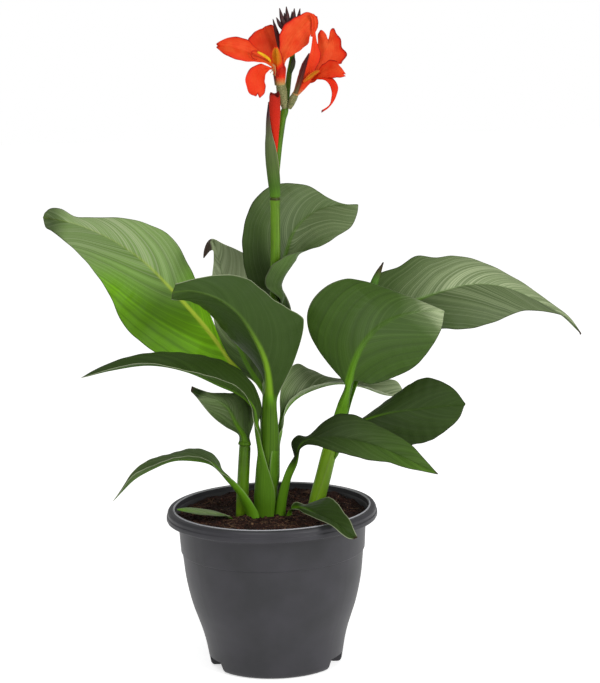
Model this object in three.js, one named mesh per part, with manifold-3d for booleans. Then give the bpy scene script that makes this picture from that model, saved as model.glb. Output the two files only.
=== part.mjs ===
// A canna lily growing in a round nursery pot: one flowering stem with two open
// flowers, two shorter leafy stems, fourteen leaves, a rolled young leaf, the soil
// and the pot. Millimetres, +Z up, origin at the centre of the pot's underside.

import * as THREE from 'three';
import { mergeVertices } from 'three/addons/utils/BufferGeometryUtils.js';
import Module from 'manifold-3d';

const wasm = await Module();
wasm.setup();

// ---------------------------------------------------------------- driving sizes

const clearance = 0.35;          // air left between two pieces that rest on each other

const potHeight = 146;
const rimRadius = 95;
const rimDepth = 10;             // of the rim's turned-down skirt
const wallRadius = 85;           // outside of the wall, just under the rim
const footRadius = 53;
const wallThickness = 1.5;
const floorThickness = 2;
const potSides = 32;

const notchAngles = [-24, 90, 204];
const notchHeight = 9;
const notchHalfWidth = 15;       // at the foot; its sides lean in by `notchLean`
const notchLean = 3;
const notchInner = 46;           // radius where the notch ends under the floor
const drainRadius = 4;

const soilEdge = 137;            // level of the soil at the pot's wall
const soilMound = 4;             // how much higher it lies round the stems
const stemFoot = 112;            // the stems end this high, sunk in the soil
const stemSides = 12;

const stalkThickness = 1.4;      // of a leaf's sheath and stalk
const stalkRadius = 3.4;         // of the gutter that a leaf stalk is rolled to
const stalkWrap = 78;            // degrees that the gutter turns up on each side
const sheathAir = 0.3;           // more air round a stem, whose sides are flats
const bladeThickness = 0.8;
const midribWidth = [2.4, 1];    // from its middle to its side, at the stalk and at the tip
const midribDepth = [1.6, 0.2];  // that it stands out below the blade
const petalThickness = 0.8;
const bractThickness = 0.8;

// ---------------------------------------------------------------- small helpers

const vec = ([x, y, z]) => new THREE.Vector3(x, y, z);
const { lerp, degToRad, smoothstep } = THREE.MathUtils;
const smooth = (points) => new THREE.CatmullRomCurve3(points, false, 'centripetal');

// A value that runs through [place, value] pairs in straight steps.
function ramp(pairs, place) {
  const last = pairs.length - 1;
  if (place <= pairs[0][0]) return pairs[0][1];
  if (place >= pairs[last][0]) return pairs[last][1];
  const next = pairs.findIndex(([p]) => p > place);
  const [p0, v0] = pairs[next - 1];
  const [p1, v1] = pairs[next];
  return lerp(v0, v1, (place - p0) / (p1 - p0));
}

// `count` + 1 points at equal distances between two parameters of a curve.
function evenly(curve, from, to, count) {
  const fine = 60;
  const points = Array.from({ length: fine + 1 }, (_, k) => curve.getPoint(lerp(from, to, k / fine)));
  const run = [[0, 0]];
  for (let k = 1; k <= fine; k++) {
    run.push([run[k - 1][0] + points[k].distanceTo(points[k - 1]), k]);
  }
  const length = run[fine][0];
  return Array.from({ length: count + 1 }, (_, k) => {
    const place = ramp(run, (length * k) / count);
    const low = Math.min(Math.floor(place), fine - 1);
    return points[low].clone().lerp(points[low + 1], place - low);
  });
}

// ---------------------------------------------------------------- solids

function geometryOf(points, triangles) {
  const geometry = new THREE.BufferGeometry();
  geometry.setAttribute('position', new THREE.Float32BufferAttribute(points.flatMap((p) => p.toArray()), 3));
  geometry.setIndex(triangles.flat());
  return geometry;
}

function solidOf(geometry) {
  const bare = geometry.clone();
  bare.deleteAttribute('normal');
  bare.deleteAttribute('uv');
  const merged = mergeVertices(bare, 1e-4);
  return new wasm.Manifold(new wasm.Mesh({
    numProp: 3,
    vertProperties: merged.attributes.position.array,
    triVerts: Uint32Array.from(merged.index.array),
  }));
}

function geometryFrom(solid) {
  const { vertProperties, triVerts } = solid.getMesh();
  const geometry = new THREE.BufferGeometry();
  geometry.setAttribute('position', new THREE.BufferAttribute(vertProperties, 3));
  geometry.setIndex(new THREE.BufferAttribute(triVerts, 1));
  return geometry;
}

const joined = (solids) => solids.reduce((whole, solid) => whole.add(solid));
const cut = (solid, others) => others.reduce((rest, other) => rest.subtract(other), solid);

// A closed skin over rings that all have the same number of points, with flat ends.
function skin(rings) {
  const sides = rings[0].length;
  const triangles = [];
  for (let i = 0; i + 1 < rings.length; i++) {
    for (let j = 0; j < sides; j++) {
      const a = i * sides + j;
      const b = i * sides + ((j + 1) % sides);
      triangles.push([a, b, b + sides], [a, b + sides, a + sides]);
    }
  }
  const top = (rings.length - 1) * sides;
  for (let j = 1; j + 1 < sides; j++) {
    triangles.push([0, j + 1, j], [top, top + j, top + j + 1]);
  }
  return geometryOf(rings.flat(), triangles);
}

// A ring of points round a centre, square to `tangent`, its first point towards `across`.
function ring(centre, tangent, across, radius, sides) {
  const up = tangent.clone().cross(across);
  return Array.from({ length: sides }, (_, j) => {
    const angle = (2 * Math.PI * j) / sides;
    return centre.clone()
      .addScaledVector(across, radius * Math.cos(angle))
      .addScaledVector(up, radius * Math.sin(angle));
  });
}

const squareTo = (direction, tangent) => direction.clone()
  .addScaledVector(tangent, -direction.dot(tangent)).normalize();

// A round rod along a curve; `radiusOf` takes the share of the rod's length.
function rod(points, radiusOf, steps, sides) {
  const stations = evenly(smooth(points.map(vec)), 0, 1, steps);
  const east = new THREE.Vector3(1, 0, 0);
  return skin(stations.map((centre, i) => {
    const tangent = stations[Math.min(i + 1, steps)].clone().sub(stations[Math.max(i - 1, 0)]).normalize();
    return ring(centre, tangent, squareTo(east, tangent), radiusOf(i / steps), sides);
  }));
}

// A body of revolution about Z over an outline of [radius, height] pairs.
function turned(outline, sides, lift = () => 0) {
  return skin(outline.map(([radius, height]) => Array.from({ length: sides }, (_, j) => {
    const angle = (2 * Math.PI * j) / sides;
    const [x, y] = [radius * Math.cos(angle), radius * Math.sin(angle)];
    return new THREE.Vector3(x, y, height + lift(x, y, height));
  })));
}

// ---------------------------------------------------------------- blades

// Leaves and petals alike: a thin shell over three lines of stations, the rib and the
// two edges. `shape` gives, for each station: the shares of the way from rib to edge
// where the columns lie; how far each half bulges towards the lower face, in widths;
// how far each edge ripples; the thickness; and how far the rib stands out below.
function bladeShell({ rib, left, right }, shape) {
  const count = rib.length - 1;
  const grid = rib.map((centre, i) => {
    const along = rib[Math.min(i + 1, count)].clone().sub(rib[Math.max(i - 1, 0)]);
    const below = along.clone().cross(right[i].clone().sub(left[i])).normalize();
    const { shares, bulge, ripple } = shape(i);
    const half = (edge, side) => shares.map((share) => {
      const chord = edge.clone().sub(centre);
      const width = chord.length();
      const flat = chord.clone().divideScalar(width);
      const hang = below.clone().addScaledVector(flat, -below.dot(flat)).normalize();
      return centre.clone()
        .addScaledVector(chord, share)
        .addScaledVector(hang, 4 * bulge[side] * width * share * (1 - share))
        .addScaledVector(below, share * share * ripple[side]);
    });
    return [...half(left[i], 0), centre.clone(), ...half(right[i], 1).reverse()];
  });
  const end = grid[0].length - 1;
  const upper = [];
  const lower = [];
  grid.forEach((row, i) => row.forEach((point, j) => {
    const along = grid[Math.min(i + 1, count)][j].clone().sub(grid[Math.max(i - 1, 0)][j]);
    const across = row[Math.min(j + 1, end)].clone().sub(row[Math.max(j - 1, 0)]);
    const below = along.cross(across).normalize();
    const { thickness, ridge } = shape(i);
    upper.push(point.clone().addScaledVector(below, -thickness / 2));
    lower.push(point.clone().addScaledVector(below, thickness / 2 + (2 * j === end ? ridge : 0)));
  }));
  const at = (i, j) => i * (end + 1) + j;
  const over = lower.length;
  const triangles = [];
  for (let i = 0; i < count; i++) {
    for (let j = 0; j < end; j++) {
      const [a, b, c, d] = [at(i, j), at(i + 1, j), at(i + 1, j + 1), at(i, j + 1)];
      triangles.push([a, b, c], [a, c, d]);
      triangles.push([over + a, over + c, over + b], [over + a, over + d, over + c]);
    }
  }
  const border = [];
  for (let i = 0; i < count; i++) border.push([at(i, 0), at(i + 1, 0)], [at(i + 1, end), at(i, end)]);
  for (let j = 0; j < end; j++) border.push([at(count, j), at(count, j + 1)], [at(0, j + 1), at(0, j)]);
  border.forEach(([a, b]) => triangles.push([b, a, over + a], [b, over + a, over + b]));
  return geometryOf([...lower, ...upper], triangles);
}

// Lines that meet in a point would close the shell to nothing: they end a little apart.
function bluntTip(lines) {
  const reach = 0.9;
  const last = lines.rib.length - 1;
  ['left', 'right'].forEach((side) => {
    if (lines[side][last].distanceTo(lines.rib[last]) > reach) return;
    const away = lines[side][last - 1].clone().sub(lines.rib[last - 1]).normalize();
    lines[side][last] = lines.rib[last].clone().addScaledVector(away, reach);
  });
  return lines;
}

// ---------------------------------------------------------------- pot

// Outlines as [radius, height], from the foot upwards.
const wallOutline = [
  [footRadius, 0], [57.6, 1], [59.8, 3.4], [61.1, 10.4], [63.1, 21.7], [65.9, 33], [69.5, 44], [73.4, 55.5],
  [76.4, 67], [79.5, 83], [81.4, 100.6], [82, 105.8], [83, 106.8],
];
const rimOutline = [
  [wallRadius, potHeight - rimDepth], [86.5, potHeight - 5], [89, potHeight - 2.3],
  [91.6, potHeight - 1.8], [rimRadius - wallThickness, potHeight - 4],
  [rimRadius - wallThickness, potHeight - rimDepth], [rimRadius, potHeight - rimDepth],
  [rimRadius, potHeight - 4], [94, potHeight - 1.3], [91.8, potHeight], [88.6, potHeight - 0.5],
  [86.4, potHeight - 2.8], [84.2, potHeight - 7], [wallRadius - wallThickness, potHeight - 12],
];
const innerOutline = wallOutline.filter(([, height], k) => height > notchHeight && k % 2 === 1)
  .map(([radius, height]) => [radius - wallThickness, height]).reverse();
const floorOutline = [[58.2, floorThickness + 2.2], [56.4, floorThickness + 0.5], [54, floorThickness]];

// The block that a drainage notch leaves free, grown on its sides, its top and inwards.
function notchBlock(angle, grow, reach) {
  const [low, high] = [notchHalfWidth + grow, notchHalfWidth - notchLean + grow];
  const face = new THREE.Shape([
    new THREE.Vector2(-low, -1), new THREE.Vector2(low, -1),
    new THREE.Vector2(high, notchHeight + grow), new THREE.Vector2(-high, notchHeight + grow),
  ]);
  const inner = notchInner - grow;
  const block = new THREE.ExtrudeGeometry(face, { depth: reach - inner, bevelEnabled: false });
  const outwards = new THREE.Matrix4().makeBasis(
    new THREE.Vector3(0, 1, 0),
    new THREE.Vector3(0, 0, 1),
    new THREE.Vector3(1, 0, 0),
  );
  return solidOf(block.applyMatrix4(outwards).translate(inner, 0, 0).rotateZ(degToRad(angle)));
}

function potGeometry() {
  const shell = solidOf(turned([...wallOutline, ...rimOutline, ...innerOutline, ...floorOutline], potSides));
  const filled = solidOf(turned(wallOutline, potSides));
  const roofs = notchAngles
    .map((angle) => notchBlock(angle, wallThickness, footRadius + 7.5).intersect(filled));
  const notches = notchAngles.map((angle) => notchBlock(angle, 0, rimRadius));
  const drains = notchAngles.map((angle) => {
    const hole = new THREE.CylinderGeometry(drainRadius, drainRadius, 3 * wallThickness, 12);
    hole.rotateX(Math.PI / 2).translate(notchInner + drainRadius + 1, 0, notchHeight + 1);
    return solidOf(hole.rotateZ(degToRad(angle)));
  });
  return geometryFrom(cut(joined([shell, ...roofs]), [...notches, ...drains]));
}

// ---------------------------------------------------------------- stems

// `girth` holds [height, radius] pairs; the thick places are the nodes that leaves spring from.
const stems = {
  main: {
    route: [
      [-4, -8, stemFoot], [-3, -8, 140], [-2, -7, 171], [0, -4, 207], [1, 0, 243], [5, 2, 297],
      [8, 4, 333], [10, 5, 378], [11, 4, 423], [12, 4, 439], [14, 3, 457], [18, 3, 484], [21, 3, 499],
      [23, 4, 506], [25, 5, 520], [27, 6, 535], [30, 7, 549], [30, 8, 557], [29, 8, 566],
    ],
    girth: [
      [stemFoot, 7.5], [140, 8.4], [173, 8.2], [207, 7.4], [225, 6.8], [243, 6.2], [270, 5.6], [297, 5],
      [315, 4.7], [333, 4.4], [355, 4.3], [378, 4.2], [400, 4.1], [417, 4.1], [421, 4.7], [424, 4.7],
      [425.5, 3.3], [440, 3.1], [457, 3.1], [471, 3], [484, 3], [496, 2.9], [500, 3.6], [503, 3.5],
      [505, 2.5], [520, 2.5], [535, 2.4], [549, 2.3], [557, 2.2], [566, 2],
    ],
  },
  left: {
    route: [[-28, -5, stemFoot], [-27, -5, 142], [-25, -5, 172], [-22.5, -4, 203]],
    girth: [
      [stemFoot, 5.2], [126, 5.6], [140, 5.8], [160, 5.9], [178, 5.8], [190, 5.5], [194, 4.2], [203, 3],
    ],
  },
  right: {
    route: [
      [31, -6, stemFoot], [38, -6, 140], [41, -6, 151], [47, -6, 172], [53, -6, 194], [60, -5, 215],
      [70, -4, 247],
    ],
    girth: [
      [stemFoot, 6.2], [126, 6.6], [140, 6.9], [158, 6.9], [177, 6.8], [197, 6.6], [206, 6], [215, 5.6],
      [231, 5], [247, 4],
    ],
  },
};
Object.values(stems).forEach((stem) => {
  stem.line = smooth(stem.route.map(vec)).getPoints(200);
});

// The stem's centre, direction and radius at a height.
function stemAt({ line, girth }, height) {
  const centreAt = (z) => new THREE.Vector3(
    ramp(line.map((point) => [point.z, point.x]), z),
    ramp(line.map((point) => [point.z, point.y]), z),
    z,
  );
  const tangent = centreAt(height + 1).sub(centreAt(height - 1)).normalize();
  return { centre: centreAt(height), tangent, radius: ramp(girth, height) };
}

function stemGeometry(stem, extra = 0) {
  const east = new THREE.Vector3(1, 0, 0);
  return skin(stem.girth.map(([height, radius]) => {
    const { centre, tangent } = stemAt(stem, height);
    return ring(centre, tangent, squareTo(east, tangent), radius + extra, stemSides);
  }));
}

// ---------------------------------------------------------------- leaves

// Each leaf: the stem it sheathes, with the heights where the sheath starts and leaves
// it, the side it is on (degrees, 0 is +X) and how far it wraps; or a foot in the soil.
// Then its stalk's line, and its blade's rib and edges, from the stalk to the tip.
// `bulge` holds [share of the blade's length, left half, right half].
const leaves = {
  leaf_front: {
    sheath: { stem: 'main', from: 212, to: 243, wrap: 58 },
    side: -90,
    stalk: [],
    rib: [
      [-2, -22, 282], [-11, -32, 307], [-24, -42, 330], [-42, -50, 346], [-64, -56, 354], [-80, -60, 354],
    ],
    left: [
      [11, -10, 254], [23, -12, 278], [32, -12, 306], [32, -14, 319], [10, -24, 339], [-14, -34, 359],
      [-33, -44, 365], [-57, -54, 365], [-77, -58, 361],
    ],
    right: [[-3, -10, 261], [-12, 0, 277], [-32, 4, 299], [-49, -6, 324], [-65, -28, 339], [-81, -58, 347]],
    bulge: [[0.2, 0.08, 0.08], [1, 0.08, 0.08]],
    wave: 1.2,
    colour: 0x46622f,
  },
  leaf_bright: {
    sheath: { stem: 'main', from: 204, to: 226, wrap: 32 },
    side: 158,
    stalk: [[-18, 8, 247], [-28, 12, 267]],
    rib: [
      [-34, 14, 279], [-56, 18, 309], [-85, 26, 342], [-111, 34, 368], [-141, 40, 388], [-170, 42, 401],
      [-190, 36, 407], [-197, 28, 410],
    ],
    left: [
      [-36, 12, 274], [-64, 4, 270], [-96, -4, 287], [-125, -6, 314], [-140, 0, 346], [-164, 14, 376],
      [-188, 30, 395], [-197, 28, 406],
    ],
    right: [
      [-35, 18, 281], [-46, 28, 305], [-58, 38, 334], [-69, 46, 360], [-85, 52, 387], [-118, 54, 402],
      [-161, 52, 405], [-180, 46, 412], [-190, 34, 416], [-197, 28, 413],
    ],
    bulge: [[0.2, -0.07, -0.07], [1, -0.07, -0.07]],
    wave: 1.2,
    colour: 0x6f9c33,
  },
  leaf_arching: {
    sheath: { stem: 'main', from: 142, to: 186, wrap: 38 },
    side: -128,
    stalk: [[-10, -14, 201], [-11, -16, 217]],
    rib: [
      [-11, -18, 226], [-13, -24, 241], [-23, -30, 254], [-43, -38, 266], [-71, -46, 281],
      [-102, -54, 289], [-135, -62, 287], [-162, -68, 282],
    ],
    left: [
      [-13, -22, 227], [-15, -38, 247], [-24, -48, 263], [-45, -58, 276], [-70, -64, 286],
      [-102, -68, 293], [-135, -68, 289], [-162, -68, 282],
    ],
    right: [
      [-9, -16, 226], [-6, -10, 238], [-12, -8, 257], [-27, -10, 274], [-50, -16, 287], [-86, -28, 296],
      [-124, -46, 294], [-150, -58, 287], [-162, -68, 282],
    ],
    bulge: [[0.2, -0.06, -0.06], [1, -0.06, -0.06]],
    wave: 1.2,
    colour: 0x3f5a2c,
  },
  leaf_thin: {
    foot: [-19, -17, 132],
    stalkRadius: 2.8,
    side: 200,
    stalk: [[-22, -15, 144], [-29, -18, 162], [-37, -20, 175]],
    rib: [
      [-44, -22, 184], [-53, -28, 193], [-68, -34, 198], [-86, -38, 199], [-104, -42, 193],
      [-120, -46, 185], [-132, -48, 174], [-140, -50, 166],
    ],
    left: [
      [-45, -28, 185], [-54, -42, 198], [-68, -50, 204], [-87, -54, 205], [-104, -56, 199],
      [-121, -54, 189], [-132, -52, 176], [-140, -50, 166],
    ],
    right: [
      [-43, -14, 184], [-46, -10, 191], [-53, -10, 198], [-67, -14, 203], [-86, -22, 203],
      [-105, -30, 200], [-120, -40, 191], [-132, -46, 176], [-140, -50, 166],
    ],
    bulge: [[0.2, -0.05, -0.05], [1, -0.05, -0.05]],
    wave: 1.2,
    colour: 0x3f5f2c,
  },
  leaf_folded: {
    sheath: { stem: 'left', from: 196, to: 203, wrap: 66 },
    side: -95,
    stalk: [],
    rib: [
      [-23, -9, 212], [-30, -17, 227], [-36, -25, 242], [-46, -31, 251], [-58, -35, 256], [-68, -34, 261],
    ],
    left: [
      [-18, -4, 211], [-14, 0, 224], [-14, -3, 241], [-23, -10, 252], [-37, -20, 255], [-50, -28, 257],
      [-59, -32, 261], [-67, -34, 265],
    ],
    right: [
      [-28, -8, 214], [-39, -12, 222], [-50, -18, 233], [-58, -26, 245], [-64, -32, 255], [-68, -34, 260],
    ],
    bulge: [[0.2, 0.06, 0.06], [1, 0.06, 0.06]],
    wave: 1.2,
    colour: 0x4c6a35,
  },
  leaf_behind: {
    sheath: { stem: 'main', from: 209, to: 230, wrap: 27 },
    side: 90,
    stalk: [[0, 14, 241]],
    rib: [
      [-8, 26, 252], [-20, 42, 270], [-31, 56, 296], [-37, 62, 325], [-39, 60, 347], [-43, 50, 370],
      [-47, 38, 383], [-51, 26, 380], [-54, 16, 374],
    ],
    left: [
      [-12, 28, 253], [-29, 44, 264], [-45, 58, 291], [-50, 66, 321], [-49, 64, 344], [-47, 56, 360],
      [-47, 42, 375], [-52, 28, 377], [-54, 16, 374],
    ],
    right: [
      [-5, 24, 253], [13, 34, 273], [22, 46, 299], [22, 54, 318], [12, 60, 338], [-5, 62, 358],
      [-22, 56, 370], [-37, 46, 379], [-47, 34, 385], [-51, 24, 382], [-53, 14, 374],
    ],
    bulge: [[0.2, -0.05, -0.05], [1, -0.05, -0.05]],
    wave: 1.2,
    colour: 0x5b7a45,
  },
  leaf_top: {
    sheath: { stem: 'main', from: 292, to: 328, wrap: 62 },
    side: 85,
    stalk: [],
    rib: [
      [10, 14, 337], [15, 18, 356], [20, 26, 374], [27, 34, 390], [40, 44, 402], [55, 52, 408],
      [72, 58, 409], [86, 60, 409],
    ],
    left: [
      [3, 13, 335], [-7, 18, 340], [-16, 22, 350], [-19, 25, 372], [-18, 28, 393], [-11, 32, 415],
      [0, 38, 427], [12, 43, 432], [26, 46, 432], [42, 50, 428], [58, 55, 417], [73, 58, 410],
      [86, 60, 409],
    ],
    right: [
      [16, 4, 333], [13, -5, 338], [7, -9, 342], [1, -10, 348], [1, -11, 355], [3, -11, 360],
      [7, -11, 366], [14, -8, 371], [23, -2, 375], [38, 8, 377], [54, 18, 380], [66, 31, 385],
      [79, 46, 391], [85, 56, 402], [86, 60, 408],
    ],
    bulge: [[0, 0.3, 0.5], [0.16, 0, 0.45], [0.3, -0.06, 0.25], [0.5, -0.06, 0.05], [1, -0.06, -0.06]],
    wave: 1.2,
    colour: 0x526b42,
  },
  leaf_round: {
    sheath: { stem: 'right', from: 212, to: 238, wrap: 60 },
    side: -95,
    stalk: [],
    rib: [
      [73, -9, 261], [78, -8, 277], [86, -2, 292], [100, 8, 305], [118, 20, 312], [141, 32, 314],
      [161, 38, 312],
    ],
    left: [
      [77, -6, 259], [92, 4, 254], [113, 12, 258], [132, 18, 266], [148, 24, 282], [158, 32, 298],
      [161, 38, 311],
    ],
    right: [
      [69, -6, 259], [60, -2, 268], [45, 4, 288], [37, 8, 308], [39, 12, 326], [53, 18, 341],
      [72, 24, 347], [91, 30, 343], [119, 36, 332], [143, 40, 321], [161, 38, 313],
    ],
    bulge: [[0.2, 0.06, 0.06], [1, 0.06, 0.06]],
    wave: 1.2,
    colour: 0x4c7234,
  },
  leaf_long: {
    sheath: { stem: 'right', from: 209, to: 236, wrap: 55 },
    side: 55,
    stalk: [[78, 10, 253], [90, 26, 278]],
    rib: [
      [103, 44, 303], [126, 58, 315], [155, 72, 323], [189, 86, 328], [220, 96, 323], [249, 102, 309],
      [273, 104, 294], [291, 100, 276],
    ],
    left: [
      [98, 48, 304], [95, 62, 323], [101, 78, 340], [121, 88, 345], [139, 96, 354], [159, 100, 352],
      [175, 104, 353], [200, 108, 346], [234, 112, 326], [260, 112, 307], [281, 108, 291], [291, 100, 277],
    ],
    right: [
      [104, 40, 300], [128, 40, 294], [160, 48, 294], [183, 58, 292], [210, 70, 296], [234, 82, 302],
      [256, 92, 299], [275, 98, 293], [287, 100, 282], [290, 100, 275],
    ],
    bulge: [[0.2, -0.07, -0.07], [1, -0.07, -0.07]],
    wave: 1.2,
    colour: 0x547a42,
  },
  leaf_right_front: {
    foot: [10, -14, 131],
    stalkRadius: 5,
    side: -60,
    stalk: [[12, -15, 149], [17, -17, 172], [22, -20, 188]],
    rib: [
      [27, -32, 208], [35, -38, 215], [55, -46, 218], [77, -54, 216], [95, -62, 212], [115, -68, 204],
      [132, -72, 196], [147, -74, 189],
    ],
    left: [
      [21, -22, 198], [19, -20, 208], [25, -22, 215], [34, -26, 215], [46, -28, 225], [60, -30, 234],
      [74, -36, 236], [90, -44, 231], [109, -54, 222], [124, -62, 213], [135, -68, 202], [146, -74, 190],
    ],
    right: [
      [31, -40, 209], [42, -52, 211], [55, -62, 209], [71, -70, 207], [89, -76, 203], [103, -78, 201],
      [118, -80, 196], [134, -78, 192], [147, -74, 188],
    ],
    bulge: [[0.2, -0.06, -0.06], [1, -0.06, -0.06]],
    wave: 1.2,
    colour: 0x3c5c28,
  },
  leaf_right_dark: {
    sheath: { stem: 'right', from: 188, to: 201, wrap: 36 },
    side: -10,
    stalk: [[72, -14, 214]],
    rib: [
      [74, -17, 222], [90, -22, 229], [110, -28, 235], [131, -34, 238], [152, -39, 241], [174, -42, 243],
    ],
    left: [
      [75, -12, 223], [84, -6, 226], [98, -6, 235], [113, -8, 246], [128, -12, 258], [140, -16, 263],
      [153, -24, 261], [165, -33, 255], [174, -42, 244],
    ],
    right: [
      [75, -22, 219], [89, -32, 210], [109, -38, 206], [128, -44, 209], [143, -48, 213], [157, -50, 222],
      [168, -48, 232], [173, -43, 242],
    ],
    bulge: [[0.2, -0.06, -0.06], [1, -0.06, -0.06]],
    wave: 1.2,
    colour: 0x375527,
  },
  leaf_right_behind: {
    sheath: { stem: 'main', from: 166, to: 194, wrap: 40 },
    side: 30,
    stalk: [[9, 5, 209]],
    rib: [
      [9, 7, 218], [15, 13, 231], [25, 20, 240], [41, 28, 246], [63, 36, 249], [85, 42, 244],
      [106, 46, 235], [123, 48, 233],
    ],
    left: [
      [9, 10, 223], [10, 20, 243], [15, 30, 257], [25, 38, 267], [38, 43, 262], [58, 48, 253],
      [83, 52, 250], [104, 54, 248], [117, 54, 246], [124, 50, 235],
    ],
    right: [
      [12, 2, 217], [15, -2, 236], [23, 0, 245], [38, 6, 252], [63, 12, 256], [85, 20, 249],
      [106, 32, 239], [123, 46, 233],
    ],
    bulge: [[0.2, -0.05, -0.05], [1, -0.05, -0.05]],
    wave: 1.2,
    colour: 0x51703c,
  },
  leaf_over_rim: {
    foot: [13, -17, 131],
    stalkRadius: 2.2,
    side: -150,
    stalk: [[15, -18, 141], [19, -22, 148]],
    rib: [
      [23, -28, 151], [29, -40, 153], [39, -60, 153], [50, -78, 152], [58, -90, 150], [65, -99, 146],
      [73, -103, 140],
    ],
    left: [
      [22, -22, 154], [30, -28, 153], [41, -36, 158], [52, -50, 164], [59, -64, 162], [64, -78, 157],
      [69, -90, 153], [72, -99, 147], [75, -103, 141],
    ],
    right: [
      [24, -32, 149], [29, -48, 149.5], [37, -66, 150.5], [46, -84, 151], [54, -96, 149], [61, -102, 144],
      [67, -106, 141], [72, -105, 140],
    ],
    bulge: [[0.2, -0.05, -0.05], [1, -0.05, -0.05]],
    wave: 0.6,
    colour: 0x3e5c2b,
  },
  leaf_on_soil: {
    foot: [-35, -20, 131],
    stalkRadius: 1.8,
    side: 200,
    stalk: [[-36, -20, 140]],
    rib: [[-41, -20, 143], [-49, -20, 144], [-60, -20, 145], [-73, -19, 146.5], [-84, -18, 148.5]],
    left: [[-40, -23, 143], [-49, -27, 144], [-60, -29, 146], [-73, -27, 147.5], [-85, -20, 149]],
    right: [
      [-42, -17, 143], [-50, -12, 144.5], [-58, -9, 146], [-66, -7, 147], [-77, -9, 148], [-85, -16, 149],
    ],
    bulge: [[0.2, -0.05, -0.05], [1, -0.05, -0.05]],
    wave: 0.3,
    colour: 0x557a35,
  },
};

const stalkSteps = 4;
const bladeSteps = 11;
const bulgeOf = (wrap) => Math.tan(degToRad(wrap) / 4) / 2;
const stalkRadiusOf = (leaf) => leaf.stalkRadius ?? stalkRadius;

// One station of a gutter: its rib lies `out` from the centre, its edges `wrap` degrees away.
function gutter(centre, out, tangent, radius, wrap) {
  const side = out.clone().cross(tangent);
  const at = (angle) => centre.clone()
    .addScaledVector(out, radius * Math.cos(angle))
    .addScaledVector(side, radius * Math.sin(angle));
  return { rib: at(0), left: at(-degToRad(wrap)), right: at(degToRad(wrap)), wrap };
}

// The stations of a leaf's sheath and stalk.
function stalkStations(leaf) {
  const angle = degToRad(leaf.side);
  const outward = new THREE.Vector3(Math.cos(angle), Math.sin(angle), 0);
  const bladeStart = vec(leaf.rib[0]);
  const bladeAcross = vec(leaf.right[0]).sub(vec(leaf.left[0]));
  const bladeBelow = vec(leaf.rib[1]).sub(bladeStart).cross(bladeAcross).normalize();
  const stations = [];
  if (leaf.sheath) {
    const { stem, from, to, wrap } = leaf.sheath;
    [0, 0.5, 1].forEach((share) => {
      const { centre, tangent, radius } = stemAt(stems[stem], lerp(from, to, share));
      const hug = radius + clearance + sheathAir + stalkThickness / 2;
      stations.push(gutter(centre, squareTo(outward, tangent), tangent, hug, wrap));
    });
  }
  const line = [leaf.sheath ? stations[2].rib : vec(leaf.foot), ...leaf.stalk.map(vec), bladeStart];
  for (let k = leaf.sheath ? 1 : 0; k + 1 < line.length; k++) {
    const tangent = line[k + 1].clone().sub(line[Math.max(k - 1, 0)]).normalize();
    const out = squareTo(outward.clone().lerp(bladeBelow, k / (line.length - 1)), tangent);
    const radius = stalkRadiusOf(leaf);
    const centre = line[k].clone().addScaledVector(out, -radius);
    stations.push(gutter(centre, out, tangent, radius, stalkWrap));
  }
  return stations;
}

function leafGeometry(leaf) {
  const stations = stalkStations(leaf);
  const last = stations.length - 1;
  const lines = {};
  ['rib', 'left', 'right'].forEach((name) => {
    const points = [...stations.map((station) => station[name]), ...leaf[name].map(vec)];
    const curve = smooth(points);
    const split = last / (points.length - 1);
    const stalk = evenly(curve, 0, split, stalkSteps).slice(0, -1);
    lines[name] = [...stalk, ...evenly(curve, split, 1, bladeSteps)];
  });
  const stalkBulge = stations.map(({ wrap }, k) => [(k * stalkSteps) / last, bulgeOf(wrap)]);
  const bulges = [1, 2].map((side) => [
    ...stalkBulge,
    ...leaf.bulge.map((row) => [stalkSteps + row[0] * bladeSteps, row[side]]),
  ]);
  return bladeShell(bluntTip(lines), (i) => {
    const u = (i - stalkSteps) / bladeSteps;
    const blade = Math.max(u, 0);
    const width = lines.rib[i].distanceTo(lines.left[i]);
    const swing = leaf.wave * Math.sin(Math.PI * blade);
    return {
      shares: [1, 0.55, Math.min(0.28, lerp(...midribWidth, blade) / width)],
      bulge: bulges.map((pairs) => ramp(pairs, i)),
      ripple: [swing * Math.sin(4.4 * Math.PI * blade), swing * Math.sin(3.8 * Math.PI * blade + 1.3)],
      thickness: lerp(stalkThickness, bladeThickness, smoothstep(u, -0.1, 0.15)),
      ridge: smoothstep(u, -0.12, 0.05) * lerp(...midribDepth, blade),
    };
  });
}

// The youngest leaf, still rolled up like a spear on top of the right stem.
function spearGeometry() {
  const route = [
    [71, -3.5, 248.4], [77, 6, 268], [84, 20, 292], [92, 34, 320], [98, 42, 342], [104, 44, 358],
  ];
  const girth = [[0, 3], [0.3, 4.2], [0.7, 3.6], [0.85, 2.6], [0.97, 1], [1, 0.5]];
  return rod(route, (share) => ramp(girth, share), 14, 8);
}

// ---------------------------------------------------------------- soil

// Crumbs: three waves that cross at uneven angles.
function crumbs(x, y, height) {
  if (height < soilEdge - 1) return 0;
  return 0.5 * Math.sin(0.37 * x + 0.11 * y)
    + 0.45 * Math.sin(0.43 * y - 0.19 * x)
    + 0.3 * Math.sin(0.8 * (x + y));
}

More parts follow.
